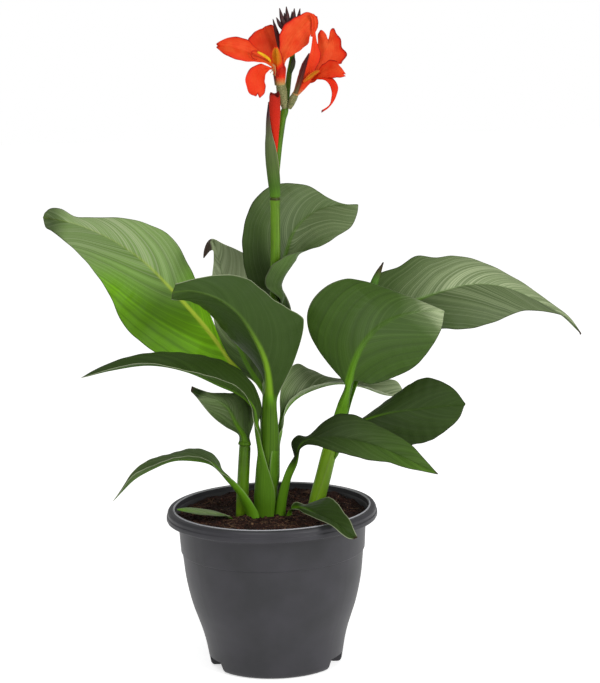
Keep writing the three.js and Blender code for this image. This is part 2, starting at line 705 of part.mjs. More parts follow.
function soilGeometry() {
  const wall = [...innerOutline, ...floorOutline].reverse().filter(([, height]) => height < soilEdge - 8);
  const side = wall.map(([radius, height]) => [radius - clearance, height + (height < 5 ? clearance : 0)]);
  const top = [79, 66, 50, 34, 16].map((radius) => [radius, soilEdge + soilMound * (1 - radius / 79)]);
  const edge = [wallRadius - wallThickness - clearance, soilEdge - 1.2];
  const body = solidOf(turned([...side, edge, ...top], potSides, crumbs));
  const stemHoles = Object.values(stems).map((stem) => solidOf(stemGeometry(stem, clearance)));
  const stalkHoles = Object.values(leaves).filter((leaf) => leaf.foot).map((leaf) => {
    const axis = stalkStations(leaf).map(({ rib, left, right }) => {
      const back = left.clone().add(right).multiplyScalar(0.5).sub(rib).normalize();
      return rib.clone().addScaledVector(back, stalkRadiusOf(leaf));
    });
    const under = axis[0].clone().add(new THREE.Vector3(0, 0, -1));
    const last = axis.length - 1;
    const above = axis[last].clone().add(axis[last].clone().sub(axis[last - 1]).setLength(5));
    const radius = stalkRadiusOf(leaf) + stalkThickness / 2 + 3 * clearance;
    return solidOf(rod([under, ...axis, above].map((point) => point.toArray()), () => radius, 6, 10));
  });
  const roofs = notchAngles.map((angle) => notchBlock(angle, wallThickness + clearance, rimRadius));
  return geometryFrom(cut(body, [...stemHoles, ...stalkHoles, ...roofs]));
}

// ---------------------------------------------------------------- flowers

const petalSteps = 7;

function petalSolid({ rib, left, right, bulge }) {
  const lines = { rib, left, right };
  Object.keys(lines).forEach((name) => {
    lines[name] = evenly(smooth(lines[name].map(vec)), 0, 1, petalSteps);
  });
  return solidOf(bladeShell(bluntTip(lines), () => ({
    shares: [1, 0.5],
    bulge: [bulge, bulge],
    ripple: [0, 0],
    thickness: petalThickness,
    ridge: 0,
  })));
}

function spindle(route, girth, steps = 6, sides = 8) {
  return rod(route, (share) => ramp(girth, share), steps, sides);
}

// The open flower on the left: its tube, four broad petals and the narrow one in front.
const leftFlower = {
  tube: [[19, -5.2, 527.2], [19, -5.4, 534], [19, -6, 543]],
  tubeGirth: [[0, 4], [0.5, 4.9], [0.85, 5.6], [1, 4.4]],
  petals: [
    {
      rib: [[18, -8, 540], [6, -20, 549], [-8, -27, 557], [-21, -32, 562], [-36, -30, 564]],
      left: [
        [17, -9, 538], [7, -26, 547], [-1, -31, 549], [-14, -36, 551], [-27, -38, 556], [-35, -31, 562],
      ],
      right: [
        [18, -6, 542], [6, -14, 553], [-1, -18, 560], [-9, -23, 568], [-22, -28, 571], [-32, -31, 568],
        [-35, -30, 566],
      ],
      bulge: -0.1,
    },
    {
      rib: [[18, -5, 541], [14, 2, 550], [10, 8, 560], [7, 14, 569], [4, 14, 574]],
      left: [[16, -6, 541], [8, -2, 553], [0, 4, 559], [-8, 10, 566], [-3, 13, 571], [3, 14, 574]],
      right: [[19, -4, 542], [17, 4, 554], [16, 10, 563], [16, 14, 570], [13, 16, 577], [7, 15, 576]],
      bulge: 0.08,
    },
    {
      rib: [[20, -6, 540], [24, -6, 552], [31, -4, 564], [40, 0, 575], [48, 5, 583], [51, 5, 585]],
      left: [
        [18, -6, 542], [19, -6, 558], [20, -5, 572], [26, -2, 580], [36, 3, 585], [44, 7, 588],
        [50, 7, 586],
      ],
      right: [
        [22, -5, 539], [25, -5, 548], [33, -4, 553], [44, -1, 561], [47, 1, 570], [53, 3, 577],
        [53, 5, 584],
      ],
      bulge: 0.1,
    },
    {
      rib: [[18, -8, 537], [10, -19, 542], [2, -30, 541.5], [-2, -38, 534], [-1, -38, 525], [-1, -35, 520]],
      left: [[18, -7, 536], [10, -18, 541], [6, -24, 536], [6, -30, 527], [5, -32, 522], [1, -34, 518]],
      right: [
        [17, -8, 538.5], [8, -21, 544.3], [1, -34, 547.5], [-9, -42, 542], [-11, -44, 535], [-8, -40, 523],
        [-3, -36, 520],
      ],
      bulge: -0.1,
    },
    {
      rib: [[19, -8, 530.6], [17, -12, 537], [16.5, -16, 548], [16, -17, 556], [16, -15, 560]],
      left: [[17, -8, 530.6], [13.5, -10.5, 537], [13, -12.5, 546], [14, -15, 555], [16, -15, 560]],
      right: [[21, -8, 530.6], [22, -9, 537], [21, -12, 545], [19, -14, 554], [17, -15, 560]],
      bulge: 0.2,
    },
  ],
  stamen: {
    rib: [[11, -17, 548], [9, -22, 551], [5, -28, 554.6], [0, -33, 558]],
    left: [[10.3, -17, 546.8], [8, -22, 549.3], [4, -28, 552.8], [-0.6, -33, 556.5]],
    right: [[11.7, -17, 549.4], [10, -22, 552.7], [6, -28, 556.4], [0.6, -33, 559.5]],
    bulge: 0.15,
  },
  sepal: [[21.2, 0.2, 540.5], [20.6, 2.4, 549], [18.8, 4.2, 562], [16, 4.2, 574], [14, 3, 583]],
  sepalGirth: [[0, 0.8], [0.35, 1.6], [0.75, 1.9], [1, 0.4]],
  ovary: [[21.8, -1.2, 505.2], [20.4, -3.6, 515], [19, -5.2, 526.4]],
  ovaryGirth: [[0, 2.2], [0.3, 3.7], [0.7, 4.4], [1, 4]],
};

// The open flower on the right, which leans away from the stem.
const rightFlower = {
  tube: [[32, -3, 517.7], [36.5, -4.5, 523], [41, -6, 528.5], [46, -7, 533]],
  tubeGirth: [[0, 2.7], [0.5, 3.9], [0.8, 4.2], [1, 3.4]],
  petals: [
    {
      rib: [[40, -6, 526], [45, -10, 541], [49, -10, 554], [49, -8, 568], [50, -6, 576]],
      left: [[38, -6, 526], [41, -13, 542], [46, -12, 555], [48, -9, 567], [49.6, -6, 575]],
      right: [[42, -5, 527], [50, -6, 539], [55, -7, 550], [52, -8, 562], [50.4, -6, 575]],
      bulge: -0.1,
    },
    {
      rib: [[43, -5, 528], [52, 0, 540], [58, 6, 551], [61, 10, 558], [62, 13, 563]],
      left: [
        [42, -4, 529], [50, 2, 544], [52, 10, 555], [53, 13, 565], [55, 12, 572], [60, 13, 568],
        [61, 13, 564],
      ],
      right: [
        [44, -5, 527], [56, -4, 538], [66, -1, 542], [74, 3, 543], [77, 6, 548], [75, 9, 556],
        [70, 11, 568], [67, 12, 573], [64, 12, 571], [63, 13, 564],
      ],
      bulge: 0.08,
    },
    {
      rib: [[43, -6, 529], [52, -14, 534], [61, -20, 539], [68, -24, 540], [75, -26, 535]],
      left: [
        [42, -6, 531], [51, -10, 537], [58, -14, 545], [66, -18, 548], [71, -22, 543], [74, -25, 539],
        [76, -26, 536],
      ],
      right: [
        [44, -7, 527], [48, -12, 528], [54, -18, 533], [62, -24, 533], [71, -26, 533], [76, -26, 534],
      ],
      bulge: 0.1,
    },
    {
      rib: [
        [46, -8, 531], [53, -16, 533], [60, -22, 532], [66, -26, 526], [66, -28, 518], [62, -29, 510],
        [54, -28, 504],
      ],
      left: [
        [46, -7, 533], [53, -14, 535], [61, -20, 534], [67, -24, 530], [69, -27, 524], [67, -29, 517],
        [61, -29, 508], [54, -28, 503],
      ],
      right: [
        [46, -10, 530], [53, -18, 531], [59, -23, 530], [63, -27, 523], [63, -30, 517], [61, -29, 510],
        [54, -28, 505],
      ],
      bulge: 0.1,
    },
  ],
  sepal: {
    rib: [[31.6, -7.6, 518.2], [36.2, -11, 531], [40, -15.2, 543], [44.6, -14.4, 554]],
    left: [[29.8, -6.4, 518.8], [33.9, -9.6, 532], [37.8, -13.8, 544], [44, -14, 553.6]],
    right: [[34, -7.6, 517.6], [38.4, -11.6, 530], [42, -16, 542.4], [45.2, -14.8, 554]],
    bulge: 0.15,
  },
  ovary: [[25.9, 0.3, 504.6], [28.6, -1.5, 511.3], [31.6, -2.8, 517.1]],
  ovaryGirth: [[0, 1.8], [0.3, 2.9], [0.7, 3.2], [1, 2.8]],
};

function flowerGeometry({ tube, tubeGirth, petals }) {
  return geometryFrom(joined([solidOf(spindle(tube, tubeGirth, 5, 12)), ...petals.map(petalSolid)]));
}

// The closed buds that crown the stem, all grown from one short axis.
function budsGeometry() {
  const axis = [[29, 8.2, 566.8], [28.6, 9, 571], [28, 9.5, 577]];
  const tips = [
    [20, 8, 592], [26, 11, 593], [33, 13, 591], [38, 10, 591], [17, 7, 584], [31, 18, 588], [24, 17, 587],
  ];
  const girth = [[0, 1.6], [0.35, 2.6], [0.7, 1.7], [1, 0.35]];
  const heart = vec(axis[1]);
  const buds = tips.map((tip) => {
    const belly = heart.clone().lerp(vec(tip), 0.45).add(new THREE.Vector3((tip[0] - heart.x) * 0.25, 0, 0));
    return solidOf(spindle([heart.toArray(), belly.toArray(), tip], girth, 4, 6));
  });
  return geometryFrom(joined([solidOf(spindle(axis, [[0, 2.6], [1, 3.2]], 3, 10)), ...buds]));
}

// The bract below the flowers: a long half-open sheath round the stem and a late bud.
// Each row: the gutter's centre, its radius and the degrees that it turns up on each side.
const spatheSide = 205;
const spatheSteps = 12;
const spatheRows = [
  [[11.3, 4, 430], 4.8, 150],
  [[10.8, 3, 439], 5.6, 118],
  [[10, 1.8, 452], 5.6, 112],
  [[9, -0.4, 466], 5.3, 109],
  [[8.2, -3.4, 479], 4.5, 105],
  [[7.6, -7.5, 492], 3, 95],
  [[7.5, -9.4, 498.5], 2, 80],
  [[8, -11, 505], 1.1, 60],
];

function spatheGeometry() {
  const side = degToRad(spatheSide);
  const out = new THREE.Vector3(Math.cos(side), Math.sin(side), 0);
  const upright = new THREE.Vector3(0, 0, 1);
  const stations = spatheRows.map(([centre, radius, wrap]) => gutter(vec(centre), out, upright, radius, wrap));
  const lines = {};
  ['rib', 'left', 'right'].forEach((name) => {
    lines[name] = evenly(smooth(stations.map((station) => station[name])), 0, 1, spatheSteps);
  });
  const last = spatheRows.length - 1;
  const turn = spatheRows.map(([, , wrap], k) => [(k * spatheSteps) / last, bulgeOf(wrap)]);
  return bladeShell(lines, (i) => ({
    shares: [1, 0.78, 0.5, 0.25],
    bulge: [ramp(turn, i), ramp(turn, i)],
    ripple: [0, 0],
    thickness: bractThickness,
    ridge: 0,
  }));
}

const lateBud = {
  route: [
    [13, -0.8, 459], [13.3, -1.4, 468], [13.3, -4, 482], [13.4, -7.6, 497], [13.2, -10, 511],
    [13.2, -12.2, 519],
  ],
  girth: [[0, 0.7], [0.15, 1.4], [0.33, 2.8], [0.55, 4.1], [0.75, 5], [0.97, 4.9], [1, 4.2]],
};
const sideBud = {
  route: [[28.4, 2.6, 535], [30.3, 2, 543], [31.8, 2.8, 550]],
  girth: [[0, 0.8], [0.4, 2], [0.7, 1.9], [1, 0.5]],
};

// ---------------------------------------------------------------- assembly

const group = new THREE.Group();

function add(name, geometry, color, roughness) {
  const mesh = new THREE.Mesh(geometry, new THREE.MeshStandardMaterial({ color, roughness, metalness: 0 }));
  mesh.name = name;
  group.add(mesh);
}

add('pot', potGeometry(), 0x46464b, 0.5);
add('soil', soilGeometry(), 0x2e211a, 0.95);
add('stem_main', stemGeometry(stems.main), 0x4f7d1a, 0.5);
add('stem_left', stemGeometry(stems.left), 0x527f1e, 0.5);
add('stem_right', stemGeometry(stems.right), 0x5a8a20, 0.5);
Object.entries(leaves).forEach(([name, leaf]) => add(name, leafGeometry(leaf), leaf.colour, 0.55));
add('leaf_rolled', spearGeometry(), 0x4a6f25, 0.5);
add('spathe', spatheGeometry(), 0x5a6b45, 0.6);
add('bud_red', spindle(lateBud.route, lateBud.girth, 8, 10), 0xd8351c, 0.5);
add('bud_side', spindle(sideBud.route, sideBud.girth), 0x4d4630, 0.6);
add('buds_purple', budsGeometry(), 0x3a2028, 0.5);
add('flower_left_petals', flowerGeometry(leftFlower), 0xe8401c, 0.5);
add('flower_left_stamen', geometryFrom(petalSolid(leftFlower.stamen)), 0xe0a018, 0.5);
add('flower_left_sepal', spindle(leftFlower.sepal, leftFlower.sepalGirth, 8), 0x4a2a2c, 0.5);
add('flower_left_ovary', spindle(leftFlower.ovary, leftFlower.ovaryGirth, 5, 10), 0x77755a, 0.8);
add('flower_right_petals', flowerGeometry(rightFlower), 0xe8381c, 0.5);
add('flower_right_sepal', geometryFrom(petalSolid(rightFlower.sepal)), 0x5a2a2a, 0.5);
add('flower_right_ovary', spindle(rightFlower.ovary, rightFlower.ovaryGirth, 5, 10), 0x77755a, 0.8);

export default group;
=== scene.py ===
# %% [markdown]
# # A potted canna lily
#
# A canna in flower grows in a nursery pot. It has three upright shoots, broad leaves that spring from them,
# and, on the tallest shoot, two open flowers, a late bud in its bract and a cluster of closed buds. Nearly
# everything on such a plant is a thin curved surface. So nearly every piece below is a surface worked out
# with numpy: a function of two parameters, computed on a whole grid at once and then handed to Blender.
#
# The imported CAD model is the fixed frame. Its solids are plain and faceted; each piece made here stands for
# one of them and keeps its place and form.

import bpy
import numpy as np
from mathutils import Matrix, Vector


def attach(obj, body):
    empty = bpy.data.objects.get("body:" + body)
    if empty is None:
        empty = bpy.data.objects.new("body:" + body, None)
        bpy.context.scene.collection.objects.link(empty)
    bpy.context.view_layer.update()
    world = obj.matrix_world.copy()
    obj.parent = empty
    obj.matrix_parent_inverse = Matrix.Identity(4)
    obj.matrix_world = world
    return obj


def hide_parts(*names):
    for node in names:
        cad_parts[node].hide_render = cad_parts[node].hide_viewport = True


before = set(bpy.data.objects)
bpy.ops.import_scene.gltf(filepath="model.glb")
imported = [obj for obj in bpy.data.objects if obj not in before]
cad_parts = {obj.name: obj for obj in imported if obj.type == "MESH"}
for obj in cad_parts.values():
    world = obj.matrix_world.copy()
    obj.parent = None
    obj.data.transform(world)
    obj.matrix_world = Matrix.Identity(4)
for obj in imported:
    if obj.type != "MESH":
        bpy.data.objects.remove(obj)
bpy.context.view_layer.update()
MM = 0.001  # the tables below are in millimetres, as a maker would measure; Blender works in metres

# %% [markdown]
# ## Camera, light and floor
#
# The camera stands 2.5 m in front of the pot, a little above the flowers, and looks down by eleven degrees.
# A long lens keeps the pot's ellipses shallow. The light is that of a photographer's white room: a pale world
# all round, a softbox on the right, which gives the pot its soft bright side, and half as strong a one above
# on the left. Softboxes are area lamps, because a small lamp would draw hard shadows.

# %% Camera
EYE = (0.0297, -2.5, 0.778)  # where the camera stands, in metres
PITCH = np.radians(10.92)  # below the horizon
ROLL = np.radians(-1.62)
PICTURE_HEIGHT = 683  # in pixels
FOCAL_PIXELS = 2851  # the lens's focal length, measured in the same pixels
forward = np.array([0, np.cos(PITCH), -np.sin(PITCH)])
level_right = np.array([1, 0, 0])
level_up = np.array([0, np.sin(PITCH), np.cos(PITCH)])
right = np.cos(ROLL) * level_right + np.sin(ROLL) * level_up
up = np.cos(ROLL) * level_up - np.sin(ROLL) * level_right

camera = bpy.data.objects.new("camera", bpy.data.cameras.new("camera"))
camera.data.sensor_width = 36
camera.data.lens = FOCAL_PIXELS * camera.data.sensor_width / PICTURE_HEIGHT
camera.data.clip_end = 50
turned = Matrix(np.column_stack([right, up, -forward]).tolist()).to_4x4()
camera.matrix_world = Matrix.Translation(EYE) @ turned
bpy.context.scene.collection.objects.link(camera)
bpy.context.scene.camera = camera
print("lens", round(camera.data.lens, 1), "mm")


# %% Lamps
def softbox(name, place, aim, size, power):
    """A square lamp of `size` metres and `power` watts at `place` that faces `aim`."""
    light = bpy.data.lights.new(name, "AREA")
    light.size, light.energy = size, power
    stand = bpy.data.objects.new(name, light)
    stand.location = place
    stand.rotation_euler = (Vector(aim) - Vector(place)).to_track_quat("-Z", "Y").to_euler()
    bpy.context.scene.collection.objects.link(stand)
    print(name, power, "W")


softbox("softbox_right", (1.6, -1.6, 1.3), (0, 0, 0.3), 1.0, 28)
softbox("softbox_left", (-0.7, -1.5, 2.3), (0, 0, 0.35), 1.2, 14)
bpy.context.scene.view_settings.view_transform = "Standard"  # colours stay those of the materials


# %% [markdown]
# ## Materials
#
# Every finish below is a small tree of shader nodes. `add` puts one node with its settings and links into a
# tree. A colour is written as a hex code, as a paint card would give it, and `linear` turns it into the
# numbers that Blender's light works with.


# %% Materials: small helpers
def linear(code):
    """An sRGB hex colour such as "46464b" as the linear numbers that Blender computes with."""
    share = np.array([int(code[k : k + 2], 16) for k in (0, 2, 4)]) / 255
    value = np.where(share <= 0.04045, share / 12.92, ((share + 0.055) / 1.055) ** 2.4)
    return (*value.tolist(), 1)


def add(tree, kind, links=None, **settings):
    """Adds a node; `links` gives its inputs a plain value, or another node's output."""
    node = tree.nodes.new("ShaderNode" + kind)
    for key, value in settings.items():
        setattr(node, key, value)
    for key, value in (links or {}).items():
        if isinstance(value, bpy.types.NodeSocket):
            tree.links.new(value, node.inputs[key])
        else:
            node.inputs[key].default_value = value
    return node


def blank(name):
    """A new material with nothing in it but its output."""
    material = bpy.data.materials.new(name)
    material.use_nodes = True
    tree = material.node_tree
    tree.nodes.clear()
    return material, tree, tree.nodes.new("ShaderNodeOutputMaterial")


# %% Backdrop and floor
ROOM_LIGHT = 0.42  # how strongly the backdrop and the table shine on the plant
TABLE_GLOW = 0.64  # how brightly the table glows to the eye


def white_room():
    """The backdrop: white paper to the eye, and half as strong as a light, so that the lamps model form."""
    world = bpy.data.worlds.new("white room")
    world.use_nodes = True
    tree = world.node_tree
    tree.nodes.clear()
    seen = add(tree, "Background", {"Color": (1, 1, 1, 1), "Strength": 1.0})
    shining = add(tree, "Background", {"Color": (1, 1, 1, 1), "Strength": ROOM_LIGHT})
    straight = add(tree, "LightPath").outputs["Is Camera Ray"]
    room = add(tree, "MixShader", {0: straight, 1: shining.outputs[0], 2: seen.outputs[0]})
    tree.links.new(room.outputs[0], tree.nodes.new("ShaderNodeOutputWorld").inputs[0])
    return world


def floor_finish():
    """White opal acrylic, lit a little from below, as on a photographer's light table.

    Like the backdrop it is brighter to the eye than as a light.
    """
    material, tree, output = blank("opal acrylic table")
    straight = add(tree, "LightPath").outputs["Is Camera Ray"]
    glow = add(tree, "MapRange", {"Value": straight, "To Min": ROOM_LIGHT, "To Max": TABLE_GLOW})
    sheet = add(
        tree,
        "BsdfPrincipled",
        {
            "Base Color": linear("f6f6f6"),
            "Roughness": 0.9,
            "Emission Color": (1, 1, 1, 1),
            "Emission Strength": glow.outputs[0],
        },
    )
    tree.links.new(sheet.outputs[0], output.inputs[0])
    return material


bpy.context.scene.world = white_room()
floor_mesh = bpy.data.meshes.new("floor")
floor_mesh.from_pydata([(-4, -4, 0), (4, -4, 0), (4, 4, 0), (-4, 4, 0)], [], [(0, 1, 2, 3)])
floor = bpy.data.objects.new("floor", floor_mesh)
floor_mesh.materials.append(floor_finish())
bpy.context.scene.collection.objects.link(floor)
print("floor: 8 m square")

# %% [markdown]
# ## Curves and surfaces
#
# A growing thing is drawn best through a few points that lie on it. `smooth_curve` runs a curve through such
# points and gives back as many points as wanted, at equal distances. A leaf or petal is then a surface over
# three such curves, its rib and its two edges; a stem or a bud is a ring carried along one. Curve objects
# and modifiers could skin such lines too, but on a grid of points each vein and ripple is one more term in a
# sum. Two small functions join a grid's points to faces: `sheet_faces` for a blade, which has a lower and an
# upper face, and `round_faces` for a tube.


# %% Curves
FINE_STEPS = 400  # points on which a curve's length is measured


def smooth_curve(points, count, start=0.0, stop=1.0):
    """`count` points at equal distances along a centripetal Catmull-Rom curve.

    Between two of the given points the curve is a cubic. Its end slopes come from the neighbours, weighted
    by the square roots of the distances, so the curve never loops where the points lie unevenly. `start`
    and `stop` are shares of the number of spans.
    """
    given = np.asarray(points, float)
    given = np.vstack([2 * given[0] - given[1], given, 2 * given[-1] - given[-2]])
    gap = np.maximum(np.sqrt(np.linalg.norm(np.diff(given, axis=0), axis=1)), 1e-4)
    spans = len(given) - 3
    at = np.linspace(start, stop, FINE_STEPS) * spans
    k = np.minimum(at.astype(int), spans - 1)
    t = (at - k)[:, None]
    a, b, c, d = (given[k + step] for step in range(4))
    g0, g1, g2 = (gap[k + step][:, None] for step in range(3))
    m1 = ((b - a) / g0 - (c - a) / (g0 + g1) + (c - b) / g1) * g1
    m2 = ((c - b) / g1 - (d - b) / (g1 + g2) + (d - c) / g2) * g1
    fine = b + m1 * t + (3 * (c - b) - 2 * m1 - m2) * t**2 + (2 * (b - c) + m1 + m2) * t**3
    run = np.r_[0, np.cumsum(np.linalg.norm(np.diff(fine, axis=0), axis=1))]
    even = np.linspace(0, run[-1], count)
    return np.stack([np.interp(even, run, fine[:, axis]) for axis in range(given.shape[1])], axis=1)


def unit(vectors):
    """The same directions with length one."""
    return vectors / np.maximum(np.linalg.norm(vectors, axis=-1, keepdims=True), 1e-9)


def smoothstep(value, low, high):
    """0 below `low`, 1 above `high`, and between them 3t² - 2t³, which starts and ends level."""
    t = np.clip((value - low) / (high - low), 0, 1)
    return t * t * (3 - 2 * t)


def softened(girth):
    """Radii without corners: each becomes the weighted mean of itself and its four neighbours."""
    return np.convolve(np.pad(girth, 2, mode="edge"), [0.1, 0.2, 0.4, 0.2, 0.1], "valid")


# %% From grids to Blender pieces
def piece(name, points, faces, materials, stands_for, paint, which=None, sharp=None):
    """A Blender object from points in millimetres, riding on the plant's one body.

    `paint` names a value for each point that the materials read; `which` picks each face's material. Edges
    that turn by more than `sharp` degrees stay sharp.
    """
    mesh = bpy.data.meshes.new(name)
    mesh.from_pydata((np.asarray(points) * MM).tolist(), [], [tuple(face) for face in faces])
    mesh.shade_smooth()
    if sharp is not None:
        mesh.set_sharp_from_angle(angle=np.radians(sharp))
    for material in materials:
        mesh.materials.append(material)
    if which is not None:
        mesh.polygons.foreach_set("material_index", np.asarray(which, np.int32))
    for key, values in paint.items():
        shares = mesh.attributes.new(key, "FLOAT", "POINT")
        shares.data.foreach_set("value", np.asarray(values, np.float32))
    thing = bpy.data.objects.new(name, mesh)
    bpy.context.scene.collection.objects.link(thing)
    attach(thing, "root")
    for node in stands_for:
        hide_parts(node)
    return thing


def sheet_faces(rows, columns):
    """The faces of a closed sheet: lower face, upper face, then the rim that joins them.

    The lower grid's points come first and the upper grid's after them, both row by row.
    """
    index = np.arange(rows * columns).reshape(rows, columns)
    a, b, c, d = index[:-1, :-1], index[1:, :-1], index[1:, 1:], index[:-1, 1:]
    lower = np.stack([a, b, c, d], axis=-1).reshape(-1, 4)
    upper = lower[:, ::-1] + rows * columns
    border = np.concatenate([index[:-1, 0], index[-1, :-1], index[:0:-1, -1], index[0, :0:-1]])
    onward = np.roll(border, -1)
    rim = np.stack([onward, border, border + rows * columns, onward + rows * columns], axis=-1)
    which = np.repeat([0, 1, 2], [len(lower), len(upper), len(rim)])
    return np.vstack([lower, upper, rim]), which


def round_faces(rows, columns):
    """The faces of a tube whose rows are closed rings, with one flat face over each end."""
    index = np.arange(rows * columns).reshape(rows, columns)
    turned = np.roll(index, -1, axis=1)
    sides = np.stack([index[:-1], turned[:-1], turned[1:], index[1:]], axis=-1).reshape(-1, 4)
    return [*sides.tolist(), index[0, ::-1].tolist(), index[-1].tolist()]


def rings(centres, radii, columns, east=(1, 0, 0), swell=None):
    """Rings round a line of centres: each one is square to the line and starts towards `east`.

    `swell` multiplies the radius, as a grid with one value for each point.
    """
    along = unit(np.gradient(centres, axis=0))
    across = unit(np.asarray(east) - (along @ np.asarray(east))[:, None] * along)
    third = np.cross(along, across)
    angle = 2 * np.pi * np.arange(columns) / columns
    reach = np.asarray(radii)[:, None] * (1 if swell is None else swell)
    circle = across[:, None] * np.cos(angle)[:, None] + third[:, None] * np.sin(angle)[:, None]
    return centres[:, None] + reach[..., None] * np.ones(columns)[:, None] * circle


def half_sheet(rib, chord, below, bulge, share):
    """One half of a blade, and its width at each row.

    It runs along the straight chord from the rib to its edge, by the shares `share`, and a parabola, four
    times bulge times width at its middle, bends it towards `below`.
    """
    width = np.linalg.norm(chord, axis=1)
    flat = unit(chord)
    hang = unit(below - (below * flat).sum(axis=1, keepdims=True) * flat)
    share = share[None, :, None]
    points = rib[:, None] + chord[:, None] * share
    return points + hang[:, None] * (4 * bulge * width)[:, None, None] * share * (1 - share), width


def sheet_body(lower, upper, paint):
    """The points of a closed sheet from its two grids, its faces, which side each is on, and its paint."""
    points = np.vstack([lower.reshape(-1, 3), upper.reshape(-1, 3)])
    faces, which = sheet_faces(*lower.shape[:2])
    return points, faces, which, {key: np.tile(values.ravel(), 2) for key, values in paint.items()}


# %% [markdown]
# ## The pot
#
# The pot is one injection moulding in polypropylene: a belly that draws in to the foot, a small step below
# the rim, a turned-down rim with a rounded lip, and three notches in the foot that let water out. It could
# be turned from a profile by a modifier, but the notches would then have to be cut. Here the wall is a
# function of the angle and of the place along the profile, and inside a notch the same function gives a flat
# inner wall instead of the round outer one.


# %% Pot: the profile
def rounded(outline, radius, steps=5):
    """The outline with each corner replaced by a short parabola that starts and ends `radius` from it."""
    outline = np.asarray(outline, float)
    made = [outline[:1]]
    for before, corner, after in zip(outline, outline[1:], outline[2:]):
        arms = [side - corner for side in (before, after)]
        arms = [arm * min(0.5, radius / np.linalg.norm(arm)) for arm in arms]
        t = np.linspace(0, 1, steps)[:, None]
        made.append(corner + arms[0] * (1 - t) ** 2 + arms[1] * t**2)
    return np.vstack([*made, outline[-1:]])


NOTCH_TURNS = np.radians([-24, 90, 204])
NOTCH_HEIGHT, NOTCH_HALF = 9, 15  # its roof, and half its width at the ground
NOTCH_LEAN, NOTCH_INNER = 3, 46  # how much narrower that half is at the roof, and the inner wall's distance
FOOT_RADIUS = 60
belly = smooth_curve(
    [
        (59.8, 3.4), (61.1, 10.4), (63.1, 21.7), (65.9, 33), (69.5, 44), (73.4, 55.5), (76.4, 67), (79.5, 83),
        (81.4, 100.6), (82, 105.8),
    ],
    46,
)
rim = rounded(
    [
        (82, 105.8), (83.1, 106.7), (84, 121), (85, 136), (86.5, 141), (89, 143.2), (91.6, 143.4),
        (93.2, 141), (93.2, 135.6), (94.8, 135.6), (95.2, 136.4), (95.1, 139.6), (94.4, 140.3), (94.2, 143),
        (92.8, 145.2), (90.4, 145.6), (89.2, 145.4), (88.8, 146.1), (88, 146.2), (87.6, 145.4), (87, 142),
        (85.8, 134),
    ],
    0.35,
)
inside = [
    (83.4, 128), (80.5, 110), (78.5, 85), (72, 56), (64.5, 33), (60, 14), (58, 12.4), (50, 12), (20, 12),
    (0.5, 12),
]
foot = [(0.5, 0), (20, 0), (45.5, 0), (50, 0), (52.4, 0), (53.6, 0.2), (57.2, 0.8), (58.8, 1.9)]
profile = np.vstack([foot, belly, rim[1:], inside])
radii, heights = profile.T
print("the pot's profile has", len(profile), "points")


# %% Pot: the surface
def apart(turn, middle):
    """How far a turn lies from a middle, the short way round."""
    return (turn - middle + np.pi) % (2 * np.pi) - np.pi


def pot_columns():
    """Even turns round the pot, with two columns close together at each side of each notch.

    Gives, for each turn, how far it lies from the nearest notch's middle as a share of the notch's half
    width, and that middle.
    """
    half = NOTCH_HALF / FOOT_RADIUS
    near = np.linspace(-0.97, 0.97, 9)
    steps = np.r_[-1.25, -1.1, -1.004, -0.996, near, 0.996, 1.004, 1.1, 1.25] * half
    even = np.linspace(0, 2 * np.pi, 216, endpoint=False)
    far = np.all([abs(apart(even, middle)) > 1.3 * half for middle in NOTCH_TURNS], axis=0)
    turns = np.sort(np.concatenate([even[far], *[(middle + steps) % (2 * np.pi) for middle in NOTCH_TURNS]]))
    away = np.array([apart(turns, middle) for middle in NOTCH_TURNS])
    nearest = abs(away).argmin(axis=0)
    return away[nearest, np.arange(len(turns))] / half, NOTCH_TURNS[nearest]


def pot_surface():
    """Grid of points: [profile place, turn].

    Outside the notches a point is its profile radius away from the axis. Near a notch the turn is squeezed
    so that the notch's sides lean inwards with height. Inside it, and below its roof, the distance along
    the notch's middle is held at its inner wall.
    """
    share, middle = pot_columns()
    half = NOTCH_HALF - NOTCH_LEAN * np.interp(heights, [0, NOTCH_HEIGHT, 30], [0, 1, 0])
    reach = np.maximum(radii, half + 1)
    edge = np.arcsin(half / reach)[:, None]
    raw = share * NOTCH_HALF / FOOT_RADIUS
    fading = np.clip(3 - abs(share) * 1.6, 0, 1)
    beside = raw + np.sign(share) * (edge - NOTCH_HALF / FOOT_RADIUS) * fading
    squeeze = np.where(abs(share) < 1, share * edge, beside)
    angle = np.where(abs(share) < 1.25, squeeze, raw)
    out, aside = radii[:, None] * np.cos(angle), radii[:, None] * np.sin(angle)
    hollow = (abs(share) < 1) & (heights[:, None] < NOTCH_HEIGHT)
    out = np.where(hollow, np.minimum(out, NOTCH_INNER), out)
    x = out * np.cos(middle) - aside * np.sin(middle)
    y = out * np.sin(middle) + aside * np.cos(middle)
    return np.stack([x, y, np.broadcast_to(heights[:, None], x.shape)], axis=-1)


# %% [markdown]
# The pot's skin is that of the mould, whose steel was roughened by sparks: satin, without a sharp reflection.
# A picture of such a grain would need the pot laid out flat. Noise on the object's own coordinates runs over
# the wall, the rim and the notches without a seam.


